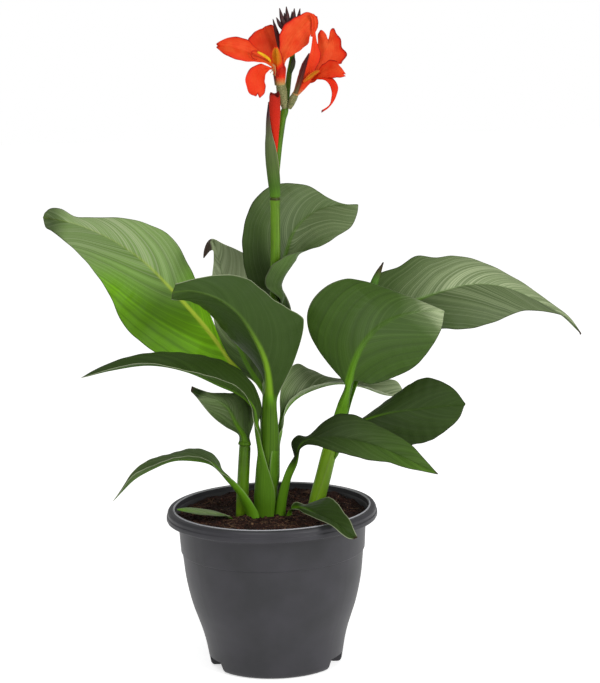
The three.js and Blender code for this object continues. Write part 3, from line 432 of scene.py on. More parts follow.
# %% Pot: moulded polypropylene
def pot_finish():
    """Anthracite polypropylene from a finely eroded mould: a satin skin with a broad, weak highlight.

    The mould's spark erosion is a grain of about 0.2 mm, drawn at 0.6 mm so that it shows. Faint flow marks,
    about 35 mm long, make the grey a little uneven, and the bead on the inner lip is a painted highlight.
    """
    material, tree, output = blank("moulded polypropylene, anthracite")
    place = add(tree, "TexCoord").outputs["Object"]
    flow = add(tree, "TexNoise", {"Vector": place, "Scale": 28, "Detail": 3})
    tone = add(tree, "ValToRGB", {"Fac": flow.outputs["Fac"]})
    for stop, (position, colour) in zip(tone.color_ramp.elements, ((0.35, "2f2f32"), (0.7, "38373c"))):
        stop.position, stop.color = position, linear(colour)
    # The bead on the inner lip is painted pale: a painted highlight where the lamps catch it.
    lip_highlight = add(tree, "Attribute", attribute_name="lip_highlight").outputs["Fac"]
    highlighted = add(tree, "Mix", {0: lip_highlight, 6: tone.outputs[0], 7: linear("b4b4ba")}, data_type="RGBA").outputs[2]
    grain = add(tree, "TexNoise", {"Vector": place, "Scale": 1600, "Detail": 1})
    relief = add(tree, "Bump", {"Height": grain.outputs["Fac"], "Distance": 0.00004, "Strength": 0.35})
    sockets = {
        "Base Color": highlighted, "Roughness": 0.42, "Specular IOR Level": 0.33, "Normal": relief.outputs[0],
    }
    skin = add(tree, "BsdfPrincipled", sockets)
    tree.links.new(skin.outputs[0], output.inputs[0])
    return material


pot_grid = pot_surface()
# The points of the inner bead, which carry the painted highlight.
inner_bead = (heights > 145.2) & (radii < 89.3)
pot = piece(
    "pot_moulding",
    pot_grid.reshape(-1, 3),
    round_faces(*pot_grid.shape[:2]),
    [pot_finish()],
    ["pot"],
    paint={"lip_highlight": np.repeat(0.9 * inner_bead, pot_grid.shape[1])},
    sharp=38,
)
print("pot:", len(pot.data.polygons), "faces")

# %% [markdown]
# ## The soil
#
# Potting mix is peat and fine bark: a dark crumbly surface, with reddish fibres and a few tan specks. A
# height field gives the lie of the surface; a few thousand small lumps and fibres, each with only a few
# faces, are strewn on it from one seeded draw, so that it stays the same in each run.


# %% Soil: the lie of the surface
SOIL_EDGE = 137  # height at the wall
SOIL_MOUND = 4  # how much higher it is in the middle
SOIL_BACK = 3  # how much higher it is at the back
SKIRT_FOOT = 124  # how far down the soil goes behind the wall
draw = np.random.default_rng(7)
WAVE_LENGTHS = draw.uniform(3, 26, 60)
WAVE_TURNS = draw.uniform(0, 2 * np.pi, 60)
WAVE_STARTS = draw.uniform(0, 2 * np.pi, 60)


def soil_height(x, y):
    """A low mound, higher at the back, plus sixty sine waves of 3 to 26 mm that cross at all angles.

    Each wave rises and sinks by about a hundredth of its length.
    """
    along = x[..., None] * np.cos(WAVE_TURNS) + y[..., None] * np.sin(WAVE_TURNS)
    waves = np.sin(2 * np.pi * along / WAVE_LENGTHS + WAVE_STARTS) * WAVE_LENGTHS / 50
    mound = SOIL_MOUND * (1 - np.hypot(x, y) / 79) + SOIL_BACK * smoothstep(y, 15, 70)
    return SOIL_EDGE + mound + 0.42 * waves.sum(axis=-1)


# %% Soil: moist peat and bark
def soil_finish():
    """Moist peat: almost black brown, matt, redder where a lump is bark or fibre.

    Its own crumbs are 2 to 3 mm. Each lump and fibre is lighter or darker by the value `tone`.
    """
    material, tree, output = blank("moist peat and bark")
    place = add(tree, "TexCoord").outputs["Object"]
    lumps = add(tree, "TexNoise", {"Vector": place, "Scale": 420, "Detail": 5, "Roughness": 0.7})
    tone = add(tree, "Attribute", attribute_name="tone").outputs["Fac"]
    mixed = add(tree, "Math", {0: lumps.outputs["Fac"], 1: tone}, operation="ADD")
    ramp = add(tree, "ValToRGB", {"Fac": mixed.outputs[0]})
    stops = ramp.color_ramp.elements
    stops[0].position, stops[0].color = 0.3, linear("110a08")
    stops[1].position, stops[1].color = 0.62, linear("36201a")
    for position, colour in ((0.9, "56352a"), (1, "7c6048")):
        stops.new(position).color = linear(colour)
    relief = add(tree, "Bump", {"Height": lumps.outputs["Fac"], "Distance": 0.0008, "Strength": 0.9})
    sockets = {
        "Base Color": ramp.outputs[0], "Roughness": 0.9, "Specular IOR Level": 0.2,
        "Normal": relief.outputs[0],
    }
    skin = add(tree, "BsdfPrincipled", sockets)
    tree.links.new(skin.outputs[0], output.inputs[0])
    return material


# %% Soil: its surface, and a skirt that goes down behind the wall
peat = soil_finish()
ring_radii = np.r_[0.4, np.linspace(1.5, 85.6, 110)]
turns = np.linspace(0, 2 * np.pi, 300, endpoint=False)
flat_x, flat_y = (ring_radii[:, None] * wave for wave in (np.cos(turns), np.sin(turns)))
top = np.stack([flat_x, flat_y, soil_height(flat_x, flat_y)], axis=-1)
skirt = np.stack([top[-1, :, 0], top[-1, :, 1], np.full(len(turns), SKIRT_FOOT)], axis=-1)
skirt[:, :2] *= 0.94  # the pot is narrower there
soil_grid = np.concatenate([skirt[None], top[::-1]])
soil = piece(
    "soil_surface",
    soil_grid.reshape(-1, 3),
    round_faces(*soil_grid.shape[:2]),
    [peat],
    ["soil"],
    paint={"tone": np.zeros(soil_grid.size // 3)},
)
print("soil:", len(soil.data.polygons), "faces")

# %% Soil: helpers for what is strewn on it
GOLDEN = (1 + 5**0.5) / 2
ICOSAHEDRON = unit(
    np.array(
        [
            (0, 1, GOLDEN), (0, -1, GOLDEN), (0, 1, -GOLDEN), (0, -1, -GOLDEN),
            (1, GOLDEN, 0), (-1, GOLDEN, 0), (1, -GOLDEN, 0), (-1, -GOLDEN, 0),
            (GOLDEN, 0, 1), (-GOLDEN, 0, 1), (GOLDEN, 0, -1), (-GOLDEN, 0, -1),
        ]
    )
)
ICOSAHEDRON_FACES = np.array(
    [
        (0, 1, 8), (0, 8, 4), (0, 4, 5), (0, 5, 9), (0, 9, 1), (1, 6, 8), (8, 6, 10), (8, 10, 4),
        (4, 10, 2), (4, 2, 5), (5, 2, 11), (5, 11, 9), (9, 11, 7), (9, 7, 1), (1, 7, 6), (3, 6, 7),
        (3, 10, 6), (3, 2, 10), (3, 11, 2), (3, 7, 11),
    ]
)


def strewn(count, reach):
    """Random places on the soil, evenly spread over a disc of that radius."""
    radius = reach * np.sqrt(draw.uniform(0, 1, count))
    turn = draw.uniform(0, 2 * np.pi, count)
    x, y = radius * np.cos(turn), radius * np.sin(turn)
    return np.stack([x, y, soil_height(x, y)], axis=-1)


def random_turns(count):
    """Random rotation matrices, from random unit quaternions."""
    w, x, y, z = unit(draw.normal(size=(count, 4))).T
    return np.array(
        [
            [1 - 2 * (y * y + z * z), 2 * (x * y - z * w), 2 * (x * z + y * w)],
            [2 * (x * y + z * w), 1 - 2 * (x * x + z * z), 2 * (y * z - x * w)],
            [2 * (x * z - y * w), 2 * (y * z + x * w), 1 - 2 * (x * x + y * y)],
        ]
    ).transpose(2, 0, 1)


# %% Soil: lumps, each a dented icosahedron of its own size and turn
LUMPS = 3600
size = draw.lognormal(-0.35, 0.45, LUMPS)[:, None, None] * draw.uniform(0.5, 1.3, (LUMPS, 1, 3))
dents = draw.uniform(0.7, 1.25, (LUMPS, 12, 1))
lump_points = np.einsum("nij,nkj->nki", random_turns(LUMPS), ICOSAHEDRON * dents * size)
lump_points += strewn(LUMPS, 84)[:, None]
lump_faces = ICOSAHEDRON_FACES + 12 * np.arange(LUMPS)[:, None, None]
piece(
    "soil_lumps",
    lump_points.reshape(-1, 3),
    lump_faces.reshape(-1, 3),
    [peat],
    [],
    paint={"tone": np.repeat(draw.choice([-0.1, 0.05, 0.25, 0.45], LUMPS, p=[0.4, 0.35, 0.2, 0.05]), 12)},
)
print("soil:", LUMPS, "lumps of", len(ICOSAHEDRON_FACES), "faces")

# %% Soil: fibres, each a bent three-sided needle
FIBRES, FIBRE_ROWS = 900, 6
length = draw.uniform(4, 13, FIBRES)[:, None]
turn = draw.uniform(0, 2 * np.pi, FIBRES)[:, None]
bend = draw.uniform(-0.9, 0.9, FIBRES)[:, None]
t = np.linspace(-0.5, 0.5, FIBRE_ROWS)
heading = turn + bend * t
middle = strewn(FIBRES, 78)[:, None]
line = middle + np.stack([length * t * np.cos(heading), length * t * np.sin(heading), 0 * heading], axis=-1)
line[..., 2] = soil_height(line[..., 0], line[..., 1]) + 0.3
corner = 2 * np.pi * np.arange(3) / 3
girth = 0.24 * (1 - 3 * t**2)
aside = np.stack([-np.sin(heading), np.cos(heading), 0 * heading], axis=-1)
fibre_points = line[:, :, None] + girth[:, None, None] * (
    aside[:, :, None] * np.cos(corner)[:, None] + np.array([0, 0, 1]) * np.sin(corner)[:, None]
)
one_fibre = round_faces(FIBRE_ROWS, 3)
fibre_faces = [[v + 3 * FIBRE_ROWS * k for v in face] for k in range(FIBRES) for face in one_fibre]
piece(
    "soil_fibres",
    fibre_points.reshape(-1, 3),
    fibre_faces,
    [peat],
    [],
    paint={"tone": np.repeat(draw.uniform(0.2, 0.6, FIBRES), 3 * FIBRE_ROWS)},
)
print("soil:", FIBRES, "fibres of", len(one_fibre), "faces")

# %% [markdown]
# ## The shoots
#
# What looks like a canna's stem is a roll of leaf sheaths, each wrapped round the ones inside it. So a shoot
# is made as a tube whose radius grows by one sheath's thickness on the way round and drops at the sheath's
# free edge. The edge winds slowly up the shoot. Where a sheath ends there is a node, a slightly thicker ring.
# A hose with a texture would look smooth from the side, where this step breaks the outline and catches light.

# %% Shoots: routes and girths, as [x, y, height] and [height, radius]
STEMS = {
    "main": {
        "route": [
            (-4, -8, 112), (-3, -8, 140), (-2, -7, 171), (0, -4, 207), (1, 0, 243), (5, 2, 297),
            (8, 4, 333), (10, 5, 378), (11, 4, 423), (12, 4, 439), (14, 3, 457), (18, 3, 484),
            (21, 3, 499), (23, 4, 506), (25, 5, 520), (27, 6, 535), (30, 7, 549), (30, 8, 557),
            (29, 8, 566),
        ],
        "girth": [
            (112, 7.5), (140, 8.4), (173, 8.2), (207, 7.4), (225, 6.8), (243, 6.2), (270, 5.6), (297, 5),
            (315, 4.7), (333, 4.4), (355, 4.3), (378, 4.2), (400, 4.1), (417, 4.1), (421, 4.7), (424, 4.7),
            (425.5, 3.3), (440, 3.1), (457, 3.1), (471, 3), (484, 3), (496, 2.9), (500, 3.6), (503, 3.5),
            (505, 2.5), (520, 2.5), (535, 2.4), (549, 2.3), (557, 2.2), (566, 2),
        ],
    },
    "left": {
        "route": [(-28, -5, 112), (-27, -5, 142), (-25, -5, 172), (-22.5, -4, 203), (-22, -4, 210)],
        "girth": [
            (112, 5.2), (126, 5.4), (140, 5.4), (160, 5.2), (178, 5.1), (198, 5), (203, 4.9), (206, 4.4),
            (210, 3),
        ],
    },
    "right": {
        "route": [
            (31, -6, 112), (38, -6, 140), (41, -6, 151), (47, -6, 172), (53, -6, 194), (60, -5, 215),
            (70, -4, 247),
        ],
        "girth": [
            (112, 6.2), (126, 6.6), (140, 6.9), (158, 6.9), (177, 6.8), (197, 6.6), (206, 6), (215, 5.6),
            (231, 5), (247, 4),
        ],
    },
}


def stem_at(name, height):
    """A shoot's centre, direction and radius at one height or at an array of heights."""
    line = smooth_curve(STEMS[name]["route"], 201)
    height = np.asarray(height, float)

    def centre(z):
        return np.stack([np.interp(z, line[:, 2], line[:, axis]) for axis in (0, 1)] + [z], axis=-1)

    heights, radii = np.transpose(STEMS[name]["girth"])
    return centre(height), unit(centre(height + 1) - centre(height - 1)), np.interp(height, heights, radii)


print({name: round(stem["girth"][-1][0]) for name, stem in STEMS.items()}, "mm high")


# %% Shoots: fresh sheaths
def stem_finish():
    """Living leaf sheath: smooth, slightly waxy, yellow-green in the light and deeper green in its streaks.

    The streaks are its parallel veins, about 0.8 mm apart, in bundles of 3 mm. A free edge is a thin pale
    line, partly its own thin margin and partly a painted highlight. At a node, where a leaf was once joined,
    the skin is a dark brown ring, and small brown scars lie along the streaks.
    """
    material, tree, output = blank("fresh leaf sheath")
    keys = "around upward seam youth ring".split()
    painted = {key: add(tree, "Attribute", attribute_name=key).outputs["Fac"] for key in keys}
    place = add(tree, "CombineXYZ", {"X": painted["around"], "Y": painted["upward"]}).outputs[0]
    streak = add(tree, "TexNoise", {"Vector": place, "Scale": 0.3, "Detail": 5, "Roughness": 0.65})
    streak = streak.outputs["Fac"]
    patch = add(tree, "TexNoise", {"Vector": add(tree, "TexCoord").outputs["Object"], "Scale": 45})
    patch = patch.outputs["Fac"]
    mixed = add(tree, "Math", {0: streak, 1: 0.6}, operation="MULTIPLY").outputs[0]
    mixed = add(tree, "Math", {0: patch, 1: 0.4, 2: mixed}, operation="MULTIPLY_ADD").outputs[0]
    shade = add(tree, "MapRange", {"Value": mixed, "From Min": 0.38, "From Max": 0.62}).outputs[0]
    scar = add(tree, "TexNoise", {"Vector": place, "Scale": 2.2, "Detail": 4}).outputs["Fac"]
    scar = add(tree, "MapRange", {"Value": scar, "From Min": 0.62, "From Max": 0.7, "To Max": 0.55})
    brown = add(tree, "Math", {0: painted["ring"], 1: scar.outputs[0]}, operation="MAXIMUM").outputs[0]
    # The value youth also carries painted light: it is higher on the side of a shoot that faces the lamps.
    colour = linear("284208")
    layers = ((shade, "4e7a10"), (painted["youth"], "86b418"), (painted["seam"], "93a955"), (brown, "33300c"))
    for share, layer in layers:
        colour = add(tree, "Mix", {0: share, 6: colour, 7: linear(layer)}, data_type="RGBA").outputs[2]
    relief = add(tree, "Bump", {"Height": streak, "Distance": 0.00012, "Strength": 0.5})
    sockets = {
        "Base Color": colour, "Roughness": 0.42, "Specular IOR Level": 0.25, "Subsurface Weight": 0.1,
        "Subsurface Scale": 0.003, "Normal": relief.outputs[0],
    }
    skin = add(tree, "BsdfPrincipled", sockets)
    skin.inputs["Subsurface Radius"].default_value = (0.6, 1.0, 0.2)
    tree.links.new(skin.outputs[0], output.inputs[0])
    return material


# %% Shoots: the tubes
SHEATH, KNOT = 0.7, 0.7  # how far a sheath's free edge and a node's ring stand out, in millimetres
ROW_STEP = 1.2  # between two rows of points
STREAK_WIDE, STREAK_LONG = 0.8, 26  # millimetres for one unit of the streaks' noise, across and along
PAINTED_LIGHT_SIDE = 235  # degrees: the side painted a lighter, fresher green, with the far side darker: painted light and shade
sheath_skin = stem_finish()


def shoot(name, edges, youth, nodes=(), columns=64):
    """Tube round the shoot's line: radius = girth + a saw-tooth.

    The saw-tooth grows once round the shoot and drops at a sheath's free edge. `edges` gives, for each
    sheath, [lowest height, highest height, turn of its free edge at the lowest height, turn at the highest],
    in millimetres and degrees, and `youth` how fresh the shoot is, as [height, share]. At each of the heights
    `nodes` it has a low ring.
    """
    low, high = STEMS[name]["girth"][0][0], STEMS[name]["girth"][-1][0]
    heights = np.linspace(low, high, int((high - low) / ROW_STEP))
    centres, _, girth = stem_at(name, heights)
    girth = softened(girth)
    turn = 2 * np.pi * np.arange(columns) / columns
    swell = np.ones((len(heights), columns))
    seam = np.zeros((len(heights), columns))
    for bottom, top, first, last in edges:
        part = (heights - bottom) / (top - bottom)
        edge = np.radians(first + (last - first) * part)
        past = ((turn - edge[:, None]) % (2 * np.pi)) / (2 * np.pi)
        here = smoothstep(part, -0.02, 0.04) * (1 - smoothstep(part, 0.96, 1.02))
        tooth = smoothstep(past, 0, 0.012) * (1 - past)
        swell += (SHEATH * here / girth)[:, None] * (tooth - 0.35)
        # The pale line along a free edge is partly the sheath's thin margin and partly a painted highlight.
        line = smoothstep(past, 0.004, 0.012) * (1 - smoothstep(past, 0.02, 0.045))
        seam = np.maximum(seam, here[:, None] * line)
    knots = sum((np.exp(-(((heights - node_height) / 1.1) ** 2)) for node_height in nodes), 0 * heights)
    swell += (KNOT * knots / girth)[:, None]
    grid = rings(centres, girth, columns, swell=swell)
    around = np.broadcast_to(turn * girth[:, None] / STREAK_WIDE, swell.shape)
    upward = np.broadcast_to(heights[:, None] / STREAK_LONG, swell.shape)
    # Painted light and shade: a shoot is painted lighter and greener on the side towards the lamps at the
    # left front, and darker on the far side.
    painted_light = 0.75 + 0.5 * np.cos(turn - np.radians(PAINTED_LIGHT_SIDE))
    fresh = np.interp(heights, *np.transpose(youth))[:, None] * painted_light
    soiled = 0.6 * (1 - smoothstep(heights, SOIL_EDGE + 1, SOIL_EDGE + 6))
    shaft = piece(
        f"stem_{name}_shoot",
        grid.reshape(-1, 3),
        round_faces(*grid.shape[:2]),
        [sheath_skin],
        ["stem_" + name],
        paint={
            "around": around.ravel(),
            "upward": upward.ravel(),
            "seam": 0.35 * seam.ravel(),
            "youth": fresh.ravel(),
            "ring": np.repeat(np.clip(2 * knots - 0.5, 0, 1) + soiled, columns),
        },
    )
    print(shaft.name, len(shaft.data.polygons), "faces")


shoot(
    "main",
    [
        (186, 232, 274, 318), (186, 224, 266, 232), (118, 186, 262, 270), (150, 330, 200, 130),
        (300, 419, 330, 300),
    ],
    [(140, 0.4), (200, 0.15), (330, 0.1), (360, 0.2), (422, 0.25), (428, 0.3), (445, 0.12), (560, 0.1)],
    [424.4],
)
shoot("left", [(118, 203, 330, 345)], [(140, 0.6), (165, 0.2), (200, 0.08)], [204.5])
shoot("right", [(118, 236, 235, 300), (150, 240, 100, 60)], [(140, 0.66), (190, 0.8), (222, 0.6)])

# %% [markdown]
# ## The leaves
#
# A canna leaf is one thin blade that folds into a gutter at its stalk and clasps the shoot with it. Its stout
# midrib stands out below and is a shallow groove above. The side veins leave the midrib at about 50 degrees
# near the stalk and 30 near the tip, and curve towards the tip until they run almost along the margin. The
# blade is faintly corrugated between them.
#
# Each leaf is a surface over three lines: the rib and the two edges. The same formula gives the stalk, where
# the edges lie close behind the rib, and the blade. The veins could be an image, but a value painted on the
# points does better: at each point, how far along the midrib the vein that passes there has left it. Any
# pattern of that one number follows the veins.
#
# Each leaf is one record. `rib`, `left` and `right` are its lines, as [x, y, z] from the stalk to the tip.
# `sheath` names a shoot, the lowest and the highest height at which the leaf clasps it, and how many degrees
# it wraps to each side: one number, or three from bottom to top. A leaf with a `foot` has its own stalk from
# the soil. `side` is the turn at which a leaf leaves, and `outer` how much further out its sheath lies.
# `bulge` bends the left and the right half towards the lower face, or with a minus towards the upper one: one
# number, or rows of [share of the blade, left, right]. `wave` is how high the margin ripples.
#
# The rest is its looks. `youth`, `tone`, `bloom` and `streak` are rows of [share of the blade, value]: how
# young and sunlit its green is (1) or how old and dark (0), where a high value also paints sun shining
# through the blade; how light, which is painted light and painted shade; how waxy, which is partly real wax
# and partly a painted sheen; and how marked its stripes are, which partly paint the shade of the corrugation.
# `halves` is how light the left and the right half are, a painted light and shade by how each half faces the
# lamps, then how strong in bloom and painted sheen. `fresh` is how bright the stalk is, then the rib, and
# `ribbon` how wide the ribbon on the rib is, then where it has faded. `hem` is how dark the left and the
# right margin are, a painted shade where the margin curls, then how pale, a painted light where light passes
# through it. Past `dry` the tip is dead. `follow` is how far a change of age or bloom runs along the veins
# (1) and not straight across (0). What a record leaves out is as on `OLD_LEAF`.

# %% Leaves: what is the same on most of them
WAVE = 1.2
OLD_LEAF = {
    "youth": [(0, 0.05)],
    "tone": [(0, 1)],
    "bloom": [(0, 0.02)],
    "streak": [(0, 0.12)],
    "halves": (1, 1, 1, 1),
    "fresh": (0.05, 0.1),
    "ribbon": (1, 0.8),
    "hem": (0.8, 0.8, 0, 0),
    "dry": 0.99,
    "follow": (0.45, 0.45),
}
LEAVES = {}
print("an ordinary leaf:", OLD_LEAF)

# %% Leaves: front, bright and arching, on the tallest shoot
LEAVES["leaf_front"] = {
    "sheath": ("main", 180, 243, (80, 72, 58)),
    "side": -90,
    "rib": [
        (-2, -22, 282), (-11, -32, 307), (-24, -42, 330), (-42, -50, 346), (-64, -56, 354),
        (-80, -60, 354),
    ],
    "left": [
        (11, -10, 254), (23, -12, 278), (32, -12, 304), (33.6, -12, 315), (33.4, -13, 318.4),
        (29, -16, 323), (10, -25, 338), (-14, -34, 359), (-33, -44, 365), (-57, -54, 365),
        (-77, -58, 361),
    ],
    "right": [
        (-3, -10, 261), (-12, 0, 277), (-32, 4, 299), (-49, -6, 324), (-65, -28, 339), (-81, -58, 347),
    ],
    "bulge": 0.08,
    "tone": [(0, 0.95), (0.3, 0.86), (1, 0.9)],
    "streak": [(0, 0.05)],
    "fresh": (0.02, 0.5),
    "ribbon": (1.5, 0.6),
    "hem": (0, 0, 0.55, 0.5),
}
LEAVES["leaf_bright"] = {
    "sheath": ("main", 204, 226, 32),
    "side": 158,
    "stalk": [(-18, 8, 247), (-28, 12, 267)],
    "rib": [
        (-34, 14, 279), (-56, 18, 309), (-85, 26, 342), (-111, 34, 368), (-141, 40, 388), (-170, 42, 401),
        (-190, 36, 407), (-197, 28, 410),
    ],
    "left": [
        (-36, 12, 274), (-64, 4, 270), (-96, -4, 287), (-125, -6, 314), (-140, 0, 346), (-164, 14, 376),
        (-190, 30, 397), (-195, 28, 400.5), (-196.5, 28, 405),
    ],
    "right": [
        (-35, 18, 281), (-46, 28, 305), (-58, 38, 334), (-69, 46, 360), (-85, 52, 387), (-118, 54, 402),
        (-158, 52, 405), (-170, 50, 406.5), (-182, 44, 415), (-191, 34, 417), (-195.5, 28, 414),
    ],
    "bulge": [(0.2, -0.07, -0.07), (0.88, -0.07, -0.07), (0.95, -0.25, -0.25), (1, 0, 0)],
    # Near the stalk, youth and tone paint sun shining through the blade: painted light.
    "youth": [(0, 1), (0.25, 0.95), (0.7, 0.5), (0.88, 0.45), (0.96, 0.12)],
    "tone": [
        (0, 1.6), (0.2, 1.5), (0.3, 1.0), (0.42, 0.72), (0.52, 1), (0.62, 1.2), (0.88, 1.2), (0.95, 0.8),
    ],
    "bloom": [(0, 0), (0.3, 0), (0.48, 0.32), (0.7, 0.42), (0.86, 0.44), (0.96, 0.12)],
    "streak": [(0, 0.4), (0.5, 0.25), (1, 0.12)],
    "halves": (0.95, 1.2, 0.85, 1.35),
    "fresh": (0.2, 1),
    "ribbon": (1.1, 0.7),
    "dry": 1.1,
    "follow": (0.65, 0.1),
}
LEAVES["leaf_arching"] = {
    "sheath": ("main", 134, 188, (58, 66, 28)),
    "outer": 2.8,
    "side": -128,
    "stalk": [(-10, -14, 201), (-11, -16, 217)],
    "rib": [
        (-11, -18, 226), (-13, -24, 241), (-23, -30, 254), (-43, -38, 266), (-71, -46, 281),
        (-102, -54, 289), (-135, -62, 287), (-162, -68, 282),
    ],
    "left": [
        (-13, -22, 227), (-15, -38, 247), (-24, -48, 263), (-45, -58, 276), (-70, -64, 286),
        (-102, -68, 293), (-135, -68, 289), (-162, -68, 282),
    ],
    "right": [
        (-9, -16, 226), (-6, -10, 238), (-12, -8, 257), (-27, -10, 274), (-50, -16, 287), (-86, -28, 296),
        (-124, -46, 294), (-150, -58, 287), (-162, -68, 282),
    ],
    "bulge": -0.06,
    "tone": [(0, 1.12)],
    "fresh": (0.12, 0.12),
    "hem": (0, 0.8, 0.7, 0),
}
print(len(LEAVES), "leaves described")

# %% Leaves: thin, from the soil, and folded, on the left shoot
LEAVES["leaf_thin"] = {
    "foot": (-16, -19, 131),
    "stalk_radius": (7, 2.8),
    "side": -110,
    "stalk": [(-20.5, -18, 144), (-28, -19, 160), (-36.5, -21, 174)],
    "rib": [
        (-44, -22, 184), (-53, -28, 193), (-68, -34, 198), (-86, -38, 199), (-104, -42, 193),
        (-120, -46, 185), (-132, -48, 174), (-140, -50, 166),
    ],
    "left": [
        (-45, -28, 185), (-54, -42, 198), (-68, -50, 204), (-87, -54, 205), (-104, -56, 199),
        (-121, -54, 189), (-132, -52, 176), (-140, -50, 166),
    ],
    "right": [
        (-43, -14, 184), (-46, -10, 191), (-53, -10, 198), (-67, -14, 203), (-86, -22, 203),
        (-105, -30, 200), (-120, -40, 191), (-132, -46, 176), (-140, -50, 166),
    ],
    "bulge": -0.05,
    "youth": [(0, 0.3), (0.2, 0.1)],
    "bloom": [(0, 0.06), (1, 0.14)],
    "fresh": (0.3, 0.15),
    "hem": (0, 0.5, 0.6, 0.3),
    "dry": 0.98,
}
LEAVES["leaf_folded"] = {
    "sheath": ("left", 203, 207.5, 70),
    "side": -95,
    "rib": [
        (-23, -9, 212), (-30, -17, 227), (-36, -25, 242), (-46, -31, 251), (-58, -35, 256),
        (-68, -34, 261),
    ],
    "left": [
        (-18, -4, 211), (-14, 0, 224), (-14, -3, 241), (-23, -10, 252), (-37, -20, 255), (-50, -28, 257),
        (-59, -32, 261), (-67, -34, 265),
    ],
    "right": [
        (-28, -8, 214), (-39, -12, 222), (-50, -18, 233), (-58, -26, 245), (-64, -32, 255),
        (-68, -34, 260),
    ],
    "bulge": 0.06,
    "youth": [(0, 0.05), (0.8, 0.12), (0.9, 0)],
    "tone": [(0, 0.9), (0.84, 1.05), (0.9, 0.5)],
    "bloom": [(0, 0.06), (0.83, 0.3), (0.9, 0)],
    "streak": [(0, 0.4)],
    "hem": (0, 0.2, 0.7, 0.6),
    "dry": 0.96,
}
print(len(LEAVES), "leaves described")

# %% Leaves: behind and top, on the tallest shoot
LEAVES["leaf_behind"] = {
    "sheath": ("main", 209, 230, 27),
    "side": 90,
    "stalk": [(0, 14, 241)],
    "rib": [
        (-8, 26, 252), (-20, 42, 270), (-31, 56, 296), (-37, 62, 325), (-39, 60, 347), (-43, 50, 370),
        (-47, 38, 383), (-50.4, 27, 380), (-53, 19, 376), (-54.3, 14, 371.5),
    ],
    "left": [
        (-12, 28, 253), (-29, 44, 264), (-45, 58, 291), (-50, 66, 321), (-49, 64, 344), (-47, 56, 360),
        (-46.5, 42, 373), (-48.6, 30, 375), (-51.2, 20, 373.5), (-54, 14, 371),
    ],
    "right": [
        (-5, 24, 253), (13, 34, 273), (22, 46, 299), (22, 54, 318), (12, 60, 338), (-5, 62, 358),
        (-22, 56, 370), (-37, 46, 379), (-47, 34, 385.5), (-51.2, 25, 383.5), (-53.8, 18, 377.5),
        (-54.6, 14, 371.5),
    ],
    "bulge": -0.05,
    "tone": [(0, 1.1), (0.6, 1.5), (0.9, 1.8)],
    "bloom": [(0, 0), (0.3, 0.08), (0.5, 0.95), (1, 1.15)],
    "streak": [(0, 0.45)],
    "hem": (0, 0.2, 0.6, 0.6),
    "dry": 0.87,
}
LEAVES["leaf_top"] = {
    "sheath": ("main", 292, 330, (70, 95, 108)),
    "side": 85,
    "rib": [
        (10, 14, 337), (15, 18, 356), (20, 26, 374), (27, 34, 390), (40, 44, 402), (55, 52, 408),
        (72, 58, 409), (86, 60, 409),
    ],
    "left": [
        (3, 13, 335), (-7, 18, 340), (-16, 22, 350), (-19, 25, 372), (-18, 28, 393), (-11, 32, 415),
        (0, 38, 427), (12, 43, 432), (26, 46, 432), (42, 50, 428), (58, 55, 417), (73, 58, 410),
        (86, 60, 409),
    ],
    "right": [
        (13.6, -1, 332), (12, -6, 337), (7, -9, 342), (1, -10, 348), (1, -11, 355), (3, -11, 360),
        (7, -11, 366), (14, -8, 371), (23, -2, 375), (38, 8, 377), (54, 18, 380), (66, 31, 385),
        (79, 46, 391), (85, 56, 402), (86, 60, 408),
    ],
    "bulge": [
        (0, 0.3, 0.3), (0.16, 0, 0.26), (0.3, -0.06, 0.34), (0.4, -0.06, 0.38), (0.5, -0.06, 0.26),
        (0.62, -0.06, 0.06), (0.75, -0.06, -0.05), (1, -0.06, -0.06),
    ],
    "youth": [(0, 0.1), (0.3, 0.05), (1, 0.05)],
    # The dark tone at the base is painted shade.
    "tone": [(0, 0.56), (0.25, 0.72), (0.4, 1.1), (0.6, 1.25), (1, 1.2)],
    "bloom": [(0, 0.02), (0.2, 0.05), (0.45, 0.14), (1, 0.18)],
    "streak": [(0, 0.1)],
    "halves": (1.32, 1.26, 1.2, 1.5),
    "fresh": (0.4, 0.06),
    "hem": (0.9, 0.8, 0, 0.1),
}
print(len(LEAVES), "leaves described")

# %% Leaves: round and long, on the right shoot
LEAVES["leaf_round"] = {
    "sheath": ("right", 212, 238, 60),
    "side": -95,
    "rib": [
        (73, -9, 261), (78, -8, 277), (86, -2, 292), (100, 8, 305), (118, 20, 312), (141, 32, 314),
        (161, 38, 312),
    ],
    "left": [
        (77, -6, 259), (92, 4, 254), (113, 12, 258), (132, 18, 266), (148, 24, 282), (158, 32, 298),
        (161, 38, 311),
    ],
    "right": [
        (69, -6, 259), (60, -2, 268), (45, 4, 288), (37, 8, 308), (39, 12, 326), (53, 18, 341),
        (72, 24, 347), (91, 30, 343), (119, 36, 332), (143, 40, 321), (161, 38, 313),
    ],
    "bulge": 0.06,
    "youth": [(0, 0.16), (1, 0.12)],
    "tone": [(0, 0.68), (0.7, 0.76), (1, 1)],
    "bloom": [(0, 0.01), (0.7, 0.04), (0.84, 0.2), (0.9, 0.6), (1, 1)],
    "streak": [(0, 0.2)],
    "fresh": (0.25, 0.24),
    "ribbon": (1.6, 0.55),
    "hem": (0.9, 0.6, 0, 0.2),
    "dry": 1.1,
}
